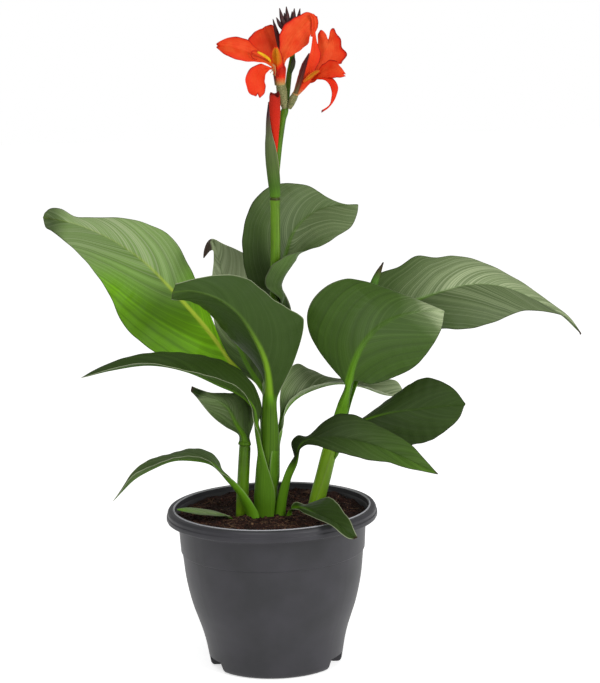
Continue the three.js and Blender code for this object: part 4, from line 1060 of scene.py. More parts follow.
LEAVES["leaf_long"] = {
    "sheath": ("right", 209, 236, 55),
    "side": 55,
    "stalk": [(78, 10, 253), (90, 26, 278)],
    "rib": [
        (103, 44, 303), (126, 58, 315), (155, 72, 323), (189, 86, 328), (220, 96, 323), (249, 102, 309),
        (273, 104, 294), (291, 100, 276),
    ],
    "left": [
        (98, 48, 304), (95, 62, 323), (101, 78, 340), (121, 88, 345), (139, 96, 354), (159, 100, 352),
        (175, 104, 353), (200, 108, 346), (234, 112, 326), (260, 112, 307), (281, 108, 291),
        (291, 100, 277),
    ],
    "right": [
        (104, 40, 300), (128, 40, 294), (160, 48, 294), (183, 58, 292), (210, 70, 296), (234, 82, 302),
        (256, 92, 299), (275, 98, 293), (287, 100, 282), (290, 100, 275),
    ],
    "bulge": -0.07,
    "youth": [(0, 0.12), (1, 0.2)],
    "tone": [(0, 0.72), (0.3, 0.9), (0.5, 1.1), (1, 1)],
    "bloom": [(0, 0.02), (0.2, 0.08), (0.45, 0.44), (1, 0.56)],
    "halves": (1.08, 0.72, 1.2, 0.55),
    "fresh": (0.35, 0.2),
    "ribbon": (1, 0.5),
    "dry": 0.965,
}
print(len(LEAVES), "leaves described")

# %% Leaves: the low ones on the right
LEAVES["leaf_right_front"] = {
    "foot": (8, -15.5, 131),
    "stalk_radius": (5.6, 3.6),
    "side": -60,
    "stalk": [(10.5, -16, 149), (16, -17.5, 172), (22, -20, 188)],
    "rib": [
        (27, -32, 208), (35, -38, 215), (55, -46, 218), (77, -54, 216), (95, -62, 212), (115, -68, 204),
        (132, -72, 196), (147, -74, 189),
    ],
    "left": [
        (21, -22, 198), (19, -20, 208), (25, -22, 215), (34, -26, 215), (46, -28, 225), (60, -30, 234),
        (74, -36, 236), (90, -44, 231), (109, -54, 222), (124, -62, 213), (135, -68, 202),
        (146, -74, 190),
    ],
    "right": [
        (31, -40, 209), (42, -52, 211), (55, -62, 209), (71, -70, 207), (89, -76, 203), (103, -78, 201),
        (118, -80, 196), (134, -78, 192), (147, -74, 188),
    ],
    "bulge": -0.06,
    "youth": [(0, 0), (1, 0.3)],
    "tone": [(0, 0.5), (0.3, 0.52), (0.6, 0.95), (1, 1.2)],
    "bloom": [(0, 0), (0.5, 0.05), (1, 0.03)],
    "halves": (0.85, 1.15, 1, 1),
    "fresh": (0.2, 0),
    "ribbon": (0.5, 0.3),
    "dry": 0.97,
}
LEAVES["leaf_right_dark"] = {
    "sheath": ("right", 188, 201, 36),
    "side": -10,
    "stalk": [(72, -14, 214)],
    "rib": [
        (74, -17, 222), (90, -22, 229), (110, -28, 235), (131, -34, 238), (152, -39, 241),
        (174, -42, 243),
    ],
    "left": [
        (75, -12, 223), (84, -6, 226), (98, -6, 235), (113, -8, 246), (128, -12, 258), (140, -16, 263),
        (153, -24, 261), (165, -33, 255), (174, -42, 244),
    ],
    "right": [
        (75, -22, 219), (89, -32, 210), (109, -38, 206), (128, -44, 209), (143, -48, 213),
        (157, -50, 222), (168, -48, 232), (173, -43, 242),
    ],
    "bulge": -0.06,
    "youth": [(0, 0), (1, 0.08)],
    "fresh": (0.12, 0.08),
    "ribbon": (0.6, 0.6),
    "hem": (1, 1, 0, 0),
}
LEAVES["leaf_right_behind"] = {
    "sheath": ("main", 160, 200, (122, 118, 104)),
    "side": 30,
    "stalk": [(9.4, 4.5, 212)],
    "rib": [
        (9, 7, 218), (15, 13, 231), (25, 20, 240), (41, 28, 246), (63, 36, 249), (85, 42, 244),
        (106, 46, 235), (123, 48, 233),
    ],
    "left": [
        (9, 10, 223), (10, 20, 243), (15, 30, 257), (25, 38, 267), (38, 43, 262), (58, 48, 253),
        (83, 52, 250), (104, 54, 248), (117, 54, 246), (124, 50, 235),
    ],
    "right": [
        (12, 2, 217), (15, -2, 236), (23, 0, 245), (38, 6, 252), (63, 12, 256), (85, 20, 249),
        (106, 32, 239), (123, 46, 233),
    ],
    "bulge": -0.05,
    "youth": [(0, 0.6), (0.15, 0.35), (0.3, 0.12)],
    "tone": [(0, 1.5)],
    "bloom": [(0, 0.4), (1, 0.75)],
    "fresh": (0.16, 0.1),
    "hem": (0.1, 0.1, 0.6, 0.6),
}
print(len(LEAVES), "leaves described")

# %% Leaves: over the rim and on the soil
LEAVES["leaf_over_rim"] = {
    "foot": (12, -19, 131),
    "stalk_radius": (3, 2.2),
    "side": -150,
    "stalk": [(15, -18, 141), (19, -22, 148)],
    "rib": [
        (23, -28, 151), (29, -40, 153), (39, -60, 153), (50, -78, 152), (58, -90, 150), (65, -99, 146),
        (73, -103, 140),
    ],
    "left": [
        (22, -22, 154), (30, -28, 153), (41, -36, 158), (52, -50, 164), (59, -64, 162), (64, -78, 157),
        (69, -90, 153), (72, -99, 147), (75, -103, 141),
    ],
    "right": [
        (24, -32, 149), (29, -48, 149.5), (37, -66, 150.5), (46, -84, 151), (54, -96, 149),
        (61, -102, 144), (67, -106, 141), (72, -105, 140),
    ],
    "bulge": -0.05,
    "wave": 0.6,
    "tone": [(0, 1.05)],
    "fresh": (0.2, 0.08),
    "ribbon": (0.6, 0.5),
    "hem": (0, 0, 0.55, 0.5),
    "dry": 0.97,
}
LEAVES["leaf_on_soil"] = {
    "foot": (-33, -21, 134),
    "stalk_radius": (0.7, 1.2),
    "side": 200,
    "stalk": [(-37, -20.4, 141)],
    "rib": [(-41, -20, 143), (-49, -20, 144), (-60, -20, 145), (-73, -19, 146.5), (-84, -18, 148.5)],
    "left": [(-40, -23, 143), (-49, -27, 144), (-60, -29, 146), (-73, -27, 147.5), (-85, -20, 149)],
    "right": [
        (-42, -17, 143), (-50, -12, 144.5), (-58, -9, 146), (-66, -7, 147), (-77, -9, 148),
        (-85, -16, 149),
    ],
    "bulge": -0.05,
    "wave": 0.3,
    "youth": [(0, 0.1), (0.5, 0.2), (0.8, 0.5), (1, 0.8)],
    "tone": [(0, 0.8), (0.3, 1.25), (1, 1.3)],
    "bloom": [(0, 0.12), (0.3, 0.3), (0.7, 0.26), (1, 0)],
    "halves": (0.8, 1.15, 0.8, 1.2),
    "fresh": (0, 0.1),
    "ribbon": (0.5, 0.8),
    "hem": (0.5, 0, 0, 0.5),
}
print(len(LEAVES), "leaves described")


# %% Leaves: the living blade
def leaf_finish(name, dark, sunlit, roughness):
    """One face of a canna blade.

    The ground runs from dark to sunlit green by age, and its sunlit end also paints sun shining through the
    blade; `tone` then lightens or darkens it as painted light and painted shade. Three patterns follow the
    veins: stripes about 12 mm wide, which partly paint the shade of the corrugation, thin pale lines about 3
    mm apart and hair lines less than 2 mm apart. The waxy bloom lies on them as a pale grey green, partly
    real wax and partly a painted sheen. The rib and the stalk are yellow-green. The margin is a thin line, a
    painted light where light passes through it and a painted shade where it curls. A dry tip is brown.
    """
    material, tree, output = blank(name)
    keys = "vein across youth tone streak bloom fresh rib hem_dark hem_pale dry".split()
    painted = {key: add(tree, "Attribute", attribute_name=key).outputs["Fac"] for key in keys}
    noises = (("vein", 0.08, 1.5), ("vein", 0.6, 1.5), ("vein", 0.3, 1), ("across", 0.9, 2))
    noises = [
        add(tree, "TexNoise", {"W": painted[key], "Scale": scale, "Detail": detail}, noise_dimensions="1D")
        for key, scale, detail in noises
    ]
    broad, hair, ridge, thread = (noise.outputs["Fac"] for noise in noises)
    # The broad stripes are partly the leaf's own and partly painted shade of the corrugation.
    lines = add(tree, "Math", {0: hair, 1: 0.4, 2: broad}, operation="MULTIPLY_ADD").outputs[0]
    ridge = add(tree, "Math", {0: ridge, 1: 0.5}, operation="SUBTRACT").outputs[0]
    ridge = add(tree, "Math", {0: ridge}, operation="ABSOLUTE").outputs[0]
    ridge = add(tree, "MapRange", {"Value": ridge, "From Max": 0.06, "To Min": 1, "To Max": 0}).outputs[0]

    place = add(tree, "TexCoord").outputs["Object"]
    patch = add(tree, "TexNoise", {"Vector": place, "Scale": 24, "Detail": 2}).outputs["Fac"]
    mottle = add(tree, "MapRange", {"Value": patch, "To Min": 0.84, "To Max": 1.16}).outputs[0]
    swing, wax_and_sheen = (
        add(tree, "MapRange", {"Value": lines, "From Min": 0.45, "From Max": 0.95, "To Min": low}).outputs[0]
        for low in (-1, 0.5)
    )
    value = add(tree, "Math", {0: swing, 1: painted["streak"], 2: 1.0}, operation="MULTIPLY_ADD").outputs[0]
    # The value tone is painted light and painted shade: it lightens the blade where light falls on it or
    # shines through it, and darkens it where shade lies.
    for factor in (mottle, painted["tone"]):
        value = add(tree, "Math", {0: value, 1: factor}, operation="MULTIPLY").outputs[0]
    ground = add(tree, "Mix", {0: painted["youth"], 6: linear(dark), 7: linear(sunlit)}, data_type="RGBA")
    colour = add(tree, "HueSaturation", {"Value": value, "Color": ground.outputs[2]}).outputs[0]

    # The bloom, partly real wax and partly a painted sheen, is strongest on the pale vein lines.
    wax_and_sheen = add(tree, "Math", {0: ridge, 1: 0.9, 2: wax_and_sheen}, operation="MULTIPLY_ADD").outputs[0]
    wax_and_sheen = add(tree, "Math", {0: painted["bloom"], 1: wax_and_sheen}, operation="MULTIPLY").outputs[0]

    thread = add(tree, "MapRange", {"Value": thread, "From Min": 0.3, "From Max": 0.7}).outputs[0]
    greener = add(tree, "MapRange", {"Value": painted["fresh"], "From Max": 0.4}).outputs[0]
    yellower = add(tree, "MapRange", {"Value": painted["fresh"], "From Min": 0.4}).outputs[0]
    stalk = linear("34540a")
    for share, layer in ((thread, "507412"), (greener, "649a18"), (yellower, "bcd040")):
        stalk = add(tree, "Mix", {0: share, 6: stalk, 7: linear(layer)}, data_type="RGBA").outputs[2]

    # The dark hem is a painted shade where the margin curls, and the pale hem a painted light where light
    # passes through it.
    layers = (
        (wax_and_sheen, linear("a8b58c")),
        (painted["rib"], stalk),
        (painted["hem_dark"], linear("1c240c")),
        (painted["hem_pale"], linear("c4cba8")),
        (painted["dry"], linear("33261a")),
    )
    for share, layer in layers:
        colour = add(tree, "Mix", {0: share, 6: colour, 7: layer}, data_type="RGBA").outputs[2]
    relief = add(tree, "Bump", {"Height": lines, "Distance": 0.0006, "Strength": 0.5})
    sockets = {
        "Base Color": colour, "Roughness": roughness, "Specular IOR Level": 0.15,
        "Normal": relief.outputs[0],
    }
    skin = add(tree, "BsdfPrincipled", sockets)
    tree.links.new(skin.outputs[0], output.inputs[0])
    return material


leaf_under = leaf_finish("canna blade, lower face", "2d4413", "6ba30a", 0.5)
leaf_upper = leaf_finish("canna blade, upper face", "22340c", "5f920a", 0.45)
print("two skins of", len(leaf_upper.node_tree.nodes), "nodes each")

# %% Leaves: the sheath and the stalk
AIR = 0.35  # between a sheath and the shoot that it clasps
EDGE_ROOM = 0.3  # for the free edges of the shoot's own sheaths
STALK_THICK, BLADE_THICK = 1.4, 0.45
STALK_RADIUS, STALK_WRAP = 3.4, 78  # a free stalk's gutter, in millimetres and degrees to each side
SHEATH_DIP = 2.2  # how deep a sheath's lowest end starts inside the shoot that it grows from
PLEAT, PLEAT_GAP = 0.2, 9  # the corrugation's height, and its length from crest to crest
STALK_ROWS, BLADE_ROWS = 30, 132
STALK_STEPS, BLADE_STEPS = 4, 11  # the units in which a place along the whole leaf is counted
# Closer together at the rib, where the relief is fine, and at the margin, which has a hem.
HALF_SHARES = np.append(np.linspace(0, 1, 25)[1:-1] ** 1.4, [0.975, 1])


def gutter(centre, out, tangent, radius, wrap):
    """A station of a rolled stalk: its rib lies `out` from the centre, its edges `wrap` degrees away."""
    side = np.cross(out, tangent)
    turn = np.radians([0, -wrap, wrap])[:, None]
    return centre + radius * (np.cos(turn) * out + np.sin(turn) * side)


def square_to(direction, tangent):
    """The part of a direction that is square to a tangent, with length one."""
    return unit(direction - (direction @ tangent) * tangent)


def stalk_stations(leaf):
    """The stations [rib, left edge, right edge] of a leaf's sheath and stalk, and how far each wraps."""
    turn = np.radians(leaf["side"])
    outward = np.array([np.cos(turn), np.sin(turn), 0])
    start = np.array(leaf["rib"][0], float)
    blade_across = np.subtract(leaf["right"][0], leaf["left"][0])
    below = unit(np.cross(np.subtract(leaf["rib"][1], start), blade_across))
    stations, wraps = [], []
    if "sheath" in leaf:
        stem, low, high, hold = leaf["sheath"]
        for height, wrap in zip(np.linspace(low, high, 3), np.broadcast_to(hold, 3)):
            centre, tangent, radius = stem_at(stem, height)
            hug = radius + AIR + EDGE_ROOM + STALK_THICK / 2 + leaf.get("outer", 0)
            stations.append(gutter(centre, square_to(outward, tangent), tangent, hug, wrap))
            wraps.append(wrap)
    foot = stations[-1][0] if stations else leaf["foot"]
    line = np.array([foot, *leaf.get("stalk", []), start], float)
    for k in range(1 if stations else 0, len(line) - 1):
        tangent = unit(line[k + 1] - line[max(k - 1, 0)])
        share = k / (len(line) - 1)
        out = square_to(outward * (1 - share) + below * share, tangent)
        first, last = leaf.get("stalk_radius", (STALK_RADIUS, STALK_RADIUS))
        radius = first + (last - first) * share
        stations.append(gutter(line[k] - radius * out, out, tangent, radius, STALK_WRAP))
        wraps.append(STALK_WRAP)
    return stations, wraps


# %% Leaves: three lines and how the halves bend
def leaf_lines(leaf):
    """Rib, left and right edge as rows of points from the sheath to the tip, and each row's place."""
    stations, wraps = stalk_stations(leaf)
    last = len(stations) - 1
    lines = []
    for side, name in enumerate(("rib", "left", "right")):
        points = np.vstack([[station[side] for station in stations], leaf[name]])
        split = last / (len(points) - 1)
        stalk = smooth_curve(points, STALK_ROWS + 1, 0, split)[:-1]
        lines.append(np.vstack([stalk, smooth_curve(points, BLADE_ROWS + 1, split, 1)]))
    place = np.r_[
        np.linspace(0, STALK_STEPS, STALK_ROWS, endpoint=False),
        STALK_STEPS + np.linspace(0, BLADE_STEPS, BLADE_ROWS + 1),
    ]
    bend = leaf["bulge"]
    bend = [(0.2, bend, bend), (1, bend, bend)] if np.isscalar(bend) else bend
    rolled = [np.tan(np.radians(wrap) / 4) / 2 for wrap in wraps]
    at = np.arange(last + 1) * STALK_STEPS / last
    blade_at = [STALK_STEPS + row[0] * BLADE_STEPS for row in bend]
    bulges = [np.interp(place, [*at, *blade_at], [*rolled, *(row[side] for row in bend)]) for side in (1, 2)]
    return lines, place, bulges


# %% Leaves: the middle surface
def leaf_surface(leaf):
    """Grid of middle points, its downward normals, and what the materials read.

    A half is a bent chord, as `half_sheet` makes it; near the edge it ripples, and a low corrugation
    follows the veins. The value `vein` says where the vein through a point leaves the rib: at the point's
    own distance along the rib, less its distance from the rib times a slope that grows towards the margin
    and the tip.
    """
    (rib, left, right), place, bulges = leaf_lines(leaf)
    blade = np.clip((place - STALK_STEPS) / BLADE_STEPS, 0, 1)
    along = unit(np.gradient(rib, axis=0))
    below = unit(np.cross(along, right - left))
    run = np.r_[0, np.cumsum(np.linalg.norm(np.diff(rib, axis=0), axis=1))]
    swing = leaf.get("wave", WAVE) * np.sin(np.pi * blade)
    # Each half has its edge, its bulge, its ripples' rate and start, and how far up its veins start.
    sides = ((left, bulges[0], 4.4, 0, 3), (right, bulges[1], 3.8, 1.3, 0))
    halves = []
    for edge, bulge, rate, start, shift in sides:
        chord = edge - rib
        points, width = half_sheet(rib, chord, below, bulge, HALF_SHARES)
        frill = 0.35 * swing * np.sin(23 * np.pi * blade + 2 * start) * np.minimum(width / 30, 1)
        ripple = swing * np.sin(rate * np.pi * blade + start) + frill
        points = points + below[:, None] * ripple[:, None, None] * HALF_SHARES[None, :, None] ** 2
        onward = (chord * along).sum(axis=1)
        square_width = np.sqrt(np.maximum(width**2 - onward**2, 1))[:, None]
        sweep = (0.75 + 1.2 * blade[:, None]) * (HALF_SHARES + 0.9 * HALF_SHARES**2)
        vein = run[:, None] + onward[:, None] * HALF_SHARES - square_width * sweep
        pleat = PLEAT * np.sin(2 * np.pi * vein / PLEAT_GAP) * np.sin(np.pi * HALF_SHARES)
        points = points + below[:, None] * (pleat * swing[:, None] / WAVE)[..., None]
        width = width[:, None]
        halves.append((points, width * HALF_SHARES, width * (1 - HALF_SHARES), vein + shift))
    at_rib = (rib, 0 * run, np.linalg.norm(left - rib, axis=1), run)
    grid, from_rib, to_edge, vein = (
        np.concatenate([one[:, ::-1], middle[:, None], other], axis=1)
        for one, middle, other in zip(halves[0], at_rib, halves[1])
    )
    down = unit(np.cross(np.gradient(grid, axis=0), np.gradient(grid, axis=1)))
    return grid, down, from_rib, to_edge, vein, place


# %% Leaves: what the materials read
def leaf_paint(looks, u, place, half_rib, from_rib, to_edge, vein):
    """Values for each point of the middle surface; `u` runs from 0 to 1 along the blade."""
    full = np.ones_like(vein)
    column = np.arange(-(vein.shape[1] // 2), vein.shape[1] // 2 + 1)  # 0 is the rib
    wide, faded = looks["ribbon"]
    ribbon = 1 - smoothstep(from_rib, 0.45 * wide * half_rib, 1.1 * wide * half_rib)
    stalk_share = (1 - smoothstep(u, -0.05, 0.06)) * full
    grown = 0.3 * smoothstep(place, 0.5, 2)[:, None] + 0.7 * smoothstep(u, 0, 0.08)
    hem = (1 - smoothstep(to_edge, 0.25, 0.85)) * grown

    middle = vein[:, column == 0][:, 0]
    blade_start = np.interp(0, u[:, 0], middle)
    vein_share = np.clip((vein - blade_start) / (middle[-1] - blade_start), 0, 1)

    def by_half(key, at=0):
        return np.interp(column, [-1, 1], looks[key][at : at + 2])

    follow = by_half("follow") * (1 - smoothstep(u, 0.6, 0.95))
    along_veins = u + (vein_share - u) * follow

    def along_blade(key, share=along_veins):
        return np.interp(share, *np.transpose(looks[key])) * full

    return {
        "vein": vein,
        "across": from_rib * np.sign(column),
        "rib": np.maximum(ribbon * (1 - 0.9 * smoothstep(u, 0.1, faded)), stalk_share),
        "fresh": looks["fresh"][1] + (looks["fresh"][0] - looks["fresh"][1]) * stalk_share,
        # Bloom is partly real wax and partly a painted sheen, stronger on the half towards the lamps.
        "bloom": along_blade("bloom") * by_half("halves", 2),
        "streak": along_blade("streak"),
        # The dark hem is a painted shade at a curled margin, and the pale hem a painted light shining through
        # it.
        "hem_dark": by_half("hem") * hem,
        "hem_pale": by_half("hem", 2) * hem,
        # Youth and tone are also painted light and painted shade: lighter where light falls or shines
        # through, darker in shade and on the half that faces away from the lamps.
        "youth": along_blade("youth"),
        "tone": along_blade("tone", u) * by_half("halves"),
        "dry": smoothstep(u, looks["dry"], looks["dry"] + 0.03) * full,
    }


# %% Leaves: thickness and rib
def leaf(node):
    """A leaf as one closed body: the middle surface, thickened, with its rib raised below.

    The rib is 3.4 mm to each side and 1.7 mm high where the blade starts, and 0.8 and 0.2 mm at the tip.
    """
    spec = LEAVES[node]
    grid, down, from_rib, to_edge, vein, place = leaf_surface(spec)
    u = ((place - STALK_STEPS) / BLADE_STEPS)[:, None]
    thick = STALK_THICK + (BLADE_THICK - STALK_THICK) * smoothstep(u, -0.1, 0.2)
    thick = thick * (0.35 + 0.65 * smoothstep(to_edge, 0, 1.5))
    half_rib = (0.8 + 2.6 * (1 - np.clip(u, 0, 1)) ** 1.6) * np.ones_like(from_rib)
    hump = np.clip(1 - (from_rib / half_rib) ** 2, 0, 1) ** 1.5
    depth = smoothstep(u, -0.12, 0.05) * (1.7 - 1.5 * np.clip(u, 0, 1))
    if "sheath" in spec and "outer" not in spec:  # its lower end grows out of the shoot
        grid = grid - down * (SHEATH_DIP * (1 - smoothstep(place, 0, 1.1)))[:, None, None]
    lower = grid + down * (thick / 2 + depth * hump)[..., None]
    upper = grid - down * (thick / 2 - 0.45 * depth * hump**2)[..., None]
    paint = leaf_paint(OLD_LEAF | spec, u, place, half_rib, from_rib, to_edge, vein)
    points, faces, which, paint = sheet_body(lower, upper, paint)
    skins = [leaf_under, leaf_upper, leaf_upper]
    return piece(node + "_blade", points, faces, skins, [node], paint, which=which, sharp=50)


# %% Leaves: all fourteen
leaves = [leaf(node) for node in LEAVES]
print(len(leaves), "leaves,", sum(len(thing.data.polygons) for thing in leaves), "faces")

# %% [markdown]
# ## The flowers
#
# A canna flower is unusual: its showy blades are mostly stamens that have turned into petals. They stand on
# a short tube above a warty ovary. The blades are sheets like the leaves, only thinner and softer, so the
# same formula makes them; tube, ovary, buds and the rolled leaf are rings along a line.

# %% Flowers: the left one's lines, as [x, y, z], and girths, as [share of the length, radius]
LEFT_FLOWER = {
    "tube": [(19.1, -5.1, 525.8), (19, -5.4, 534), (19, -6.2, 545)],
    "tube_girth": [(0, 4), (0.45, 4.9), (0.75, 5.4), (1, 3.6)],
    "petals": [
        {
            "rib": [(18, -8, 540), (6, -20, 549), (-8, -27, 557), (-21, -32, 562), (-36, -30, 564)],
            "left": [
                (17, -9, 538), (7, -26, 547), (-1, -31, 549), (-14, -36, 551), (-27, -38, 556),
                (-35, -31, 562),
            ],
            "right": [
                (18, -6, 542), (6, -14, 553), (-1, -18, 560), (-9, -23, 568), (-22, -28, 571),
                (-32, -31, 568), (-35, -30, 566),
            ],
            "bulge": -0.1,
        },
        {
            "rib": [(18, -5, 541), (14, 2, 550), (10, 8, 560), (7, 14, 569), (4, 14, 574)],
            "left": [
                (16, -6, 541), (7, -1, 547), (-2, 5, 554), (-8.5, 11, 564), (-3, 13, 571), (3, 14, 574),
            ],
            "right": [
                (20, -2, 542), (19.5, 6, 554), (18.6, 11, 563), (17.6, 15, 571), (13, 16, 577),
                (7, 15, 576),
            ],
            "bulge": 0.08,
        },
        {
            "rib": [
                (20, -6, 540), (24, -6, 552), (31, -4, 564), (40, 0, 575), (48, 5, 583), (51, 5, 585),
            ],
            "left": [
                (18, -6, 542), (19, -6, 558), (20, -5, 572), (26, -2, 580), (36, 3, 585), (44, 7, 588),
                (50, 7, 586),
            ],
            "right": [
                (22, -5, 539), (25, -5, 548), (33, -4, 553), (44, -1, 561), (47, 1, 570), (53, 3, 577),
                (53, 5, 584),
            ],
            "bulge": 0.1,
        },
        {
            "rib": [
                (18, -8, 537), (10, -19, 542), (2, -30, 541.5), (-2, -38, 534), (-1, -38, 525),
                (-1, -35, 520),
            ],
            "left": [
                (18, -7, 536), (10, -18, 541), (6, -24, 536), (6, -30, 527), (5, -32, 522), (1, -34, 518),
            ],
            "right": [
                (17, -8, 538.5), (8, -21, 544.3), (1, -34, 547.5), (-9, -42, 542), (-11, -44, 535),
                (-8, -40, 523), (-3, -36, 520),
            ],
            "bulge": -0.1,
        },
        {
            "rib": [(19, -8, 530.6), (17, -12, 537), (16.5, -16, 548), (16, -17, 556), (16, -15, 560)],
            "left": [
                (17, -8, 530.6), (12.6, -10.5, 538), (11.2, -12.5, 547), (12, -14.6, 555), (15, -15, 561),
            ],
            "right": [
                (21, -8, 530.6), (22.6, -9, 538), (22.2, -12, 547), (20.4, -14, 555), (17, -15, 561),
            ],
            "bulge": 0.2,
        },
    ],
    "stamen": {
        "rib": [(11, -17, 548), (9, -22, 551), (5, -28, 554.6), (0, -33, 558)],
        "left": [(10.5, -17, 547.1), (8.3, -22, 549.8), (4.3, -28, 553.3), (-0.4, -33, 557)],
        "right": [(11.5, -17, 549), (9.7, -22, 552.2), (5.7, -28, 555.9), (0.4, -33, 559)],
        "bulge": 0.15,
    },
    "sepal": [(21.2, 0.2, 540.5), (20.6, 2.4, 549), (18.8, 4.2, 562), (16, 4.2, 574), (14, 3, 583)],
    "sepal_girth": [(0, 1.4), (0.3, 2.5), (0.6, 2.4), (0.85, 1.4), (1, 0.3)],
    "ovary": [(21.8, -1.2, 505.2), (20.4, -3.6, 515), (19, -5.2, 526.4)],
    "ovary_girth": [(0, 2.2), (0.3, 3.7), (0.7, 4.4), (1, 4)],
}
print("the left flower has", len(LEFT_FLOWER["petals"]), "petals")

# %% Flowers: the right one's lines and girths
RIGHT_FLOWER = {
    "tube": [(31, -2.6, 516.4), (36.5, -4.5, 523), (41, -6, 528.5), (46, -7, 533)],
    "tube_girth": [(0, 2.7), (0.5, 3.9), (0.8, 4.2), (1, 3.4)],
    "petals": [
        {
            "rib": [(40, -6, 526), (45, -10, 541), (49, -10, 554), (49, -8, 568), (50, -6, 576)],
            "left": [(38, -6, 526), (41, -13, 542), (46, -12, 555), (48, -9, 567), (49.6, -6, 575)],
            "right": [(42, -5, 527), (50, -6, 539), (55, -7, 550), (52, -8, 562), (50.4, -6, 575)],
            "bulge": -0.1,
        },
        {
            "rib": [(43, -5, 528), (52, 0, 540), (58, 6, 551), (61, 10, 558), (62, 13, 563)],
            "left": [
                (42, -4, 529), (50, 2, 544), (52, 10, 555), (53, 13, 565), (55, 12, 572), (60, 13, 568),
                (61, 13, 564),
            ],
            "right": [
                (44, -5, 527), (56, -4, 538), (66, -1, 542), (74, 3, 543), (77, 6, 548), (75, 9, 556),
                (70, 11, 568), (67, 12, 573), (64, 12, 571), (63, 13, 564),
            ],
            "bulge": 0.08,
        },
        {
            "rib": [(43, -6, 529), (52, -14, 534), (61, -20, 539), (68, -24, 540), (75, -26, 535)],
            "left": [
                (42, -6, 531), (51, -10, 537), (58, -14, 545), (66, -18, 548), (71, -22, 543),
                (74, -25, 539), (76, -26, 536),
            ],
            "right": [
                (44, -7, 527), (48, -12, 528), (54, -18, 533), (62, -24, 533), (71, -26, 533),
                (76, -26, 534),
            ],
            "bulge": 0.1,
        },
        {
            "rib": [
                (46, -8, 531), (53, -16, 533), (60, -22, 532), (66, -26, 526), (66, -28, 518),
                (62, -29, 510), (54, -28, 504),
            ],
            "left": [
                (46, -7, 533), (53, -14, 535), (61, -20, 534), (67, -24, 530), (69, -27, 524),
                (67, -29, 517), (61, -29, 508), (54, -28, 503),
            ],
            "right": [
                (46, -10, 530), (53, -18, 531), (59, -23, 530), (63, -27, 523), (63, -30, 517),
                (61, -29, 510), (54, -28, 505),
            ],
            "bulge": 0.1,
        },
    ],
    "sepal": {
        "rib": [(31.6, -7.6, 518.2), (36.2, -11, 531), (40, -15.2, 543), (44.6, -14.4, 554)],
        "left": [(29.8, -6.4, 518.8), (33.9, -9.6, 532), (37.8, -13.8, 544), (44, -14, 553.6)],
        "right": [(34, -7.6, 517.6), (38.4, -11.6, 530), (42, -16, 542.4), (45.2, -14.8, 554)],
        "bulge": 0.15,
    },
    "ovary": [(25.9, 0.3, 504.6), (28.6, -1.5, 511.3), (31.6, -2.8, 517.1)],
    "ovary_girth": [(0, 1.8), (0.3, 2.9), (0.7, 3.2), (1, 2.8)],
}
print("the right flower has", len(RIGHT_FLOWER["petals"]), "petals")

# %% [markdown]
# A petal is velvety: its cells are small cones that take up light, so it is rough and hardly shines. Light
# that enters the thin flesh comes out redder, which is what the subsurface share stands for. A young bud or
# bract is smoother and streaked lengthwise.


# %% Flowers: petal skin
def petal_finish(name, low, high, rim, outline):
    """A thin, velvety canna petal: `low` and `high` are its flesh; it deepens to `rim` and ends in `outline`.

    Fine veins run its length, about a millimetre apart. `gold` paints the yellow throat, `cream` the foot of
    the tube, and `tip` the brown of a bruised tip.
    """
    material, tree, output = blank(name)
    keys = "aside onward gold margin cream tip".split()
    painted = {key: add(tree, "Attribute", attribute_name=key).outputs["Fac"] for key in keys}
    place = add(tree, "CombineXYZ", {"X": painted["aside"], "Y": painted["onward"]}).outputs[0]
    veins = add(tree, "TexNoise", {"Vector": place, "Scale": 1.0, "Detail": 3}).outputs["Fac"]
    place = add(tree, "TexCoord").outputs["Object"]
    spot = add(tree, "TexNoise", {"Vector": place, "Scale": 130, "Detail": 3}).outputs["Fac"]
    both = add(tree, "Math", {0: veins, 1: 0.6, 2: spot}, operation="MULTIPLY_ADD").outputs[0]
    shade = add(tree, "MapRange", {"Value": both, "From Min": 0.55, "From Max": 1.05}).outputs[0]
    near = add(tree, "MapRange", {"Value": painted["margin"], "From Max": 0.55}).outputs[0]
    last = add(tree, "MapRange", {"Value": painted["margin"], "From Min": 0.55}).outputs[0]
    colour = linear(low)
    layers = (
        (shade, high), (painted["gold"], "b0850e"), (near, rim), (last, outline),
        (painted["cream"], "a39a62"), (painted["tip"], "4a1410"),
    )
    for share, layer in layers:
        colour = add(tree, "Mix", {0: share, 6: colour, 7: linear(layer)}, data_type="RGBA").outputs[2]
    relief = add(tree, "Bump", {"Height": veins, "Distance": 0.0002, "Strength": 0.5})
    sockets = {
        "Base Color": colour, "Roughness": 0.6, "Specular IOR Level": 0.15, "Subsurface Weight": 0.1,
        "Subsurface Scale": 0.002, "Normal": relief.outputs[0],
    }
    skin = add(tree, "BsdfPrincipled", sockets)
    skin.inputs["Subsurface Radius"].default_value = (1.0, 0.35, 0.15)
    tree.links.new(skin.outputs[0], output.inputs[0])
    return material


# %% Flowers: young skins
ONWARD = 4  # the value `onward` grows from 0 to this over a petal's length
VEIN_GAP = 1.1  # millimetres for one unit of the value `aside` on a blade
ROUND = 4  # units of `aside` for one radian round a tube


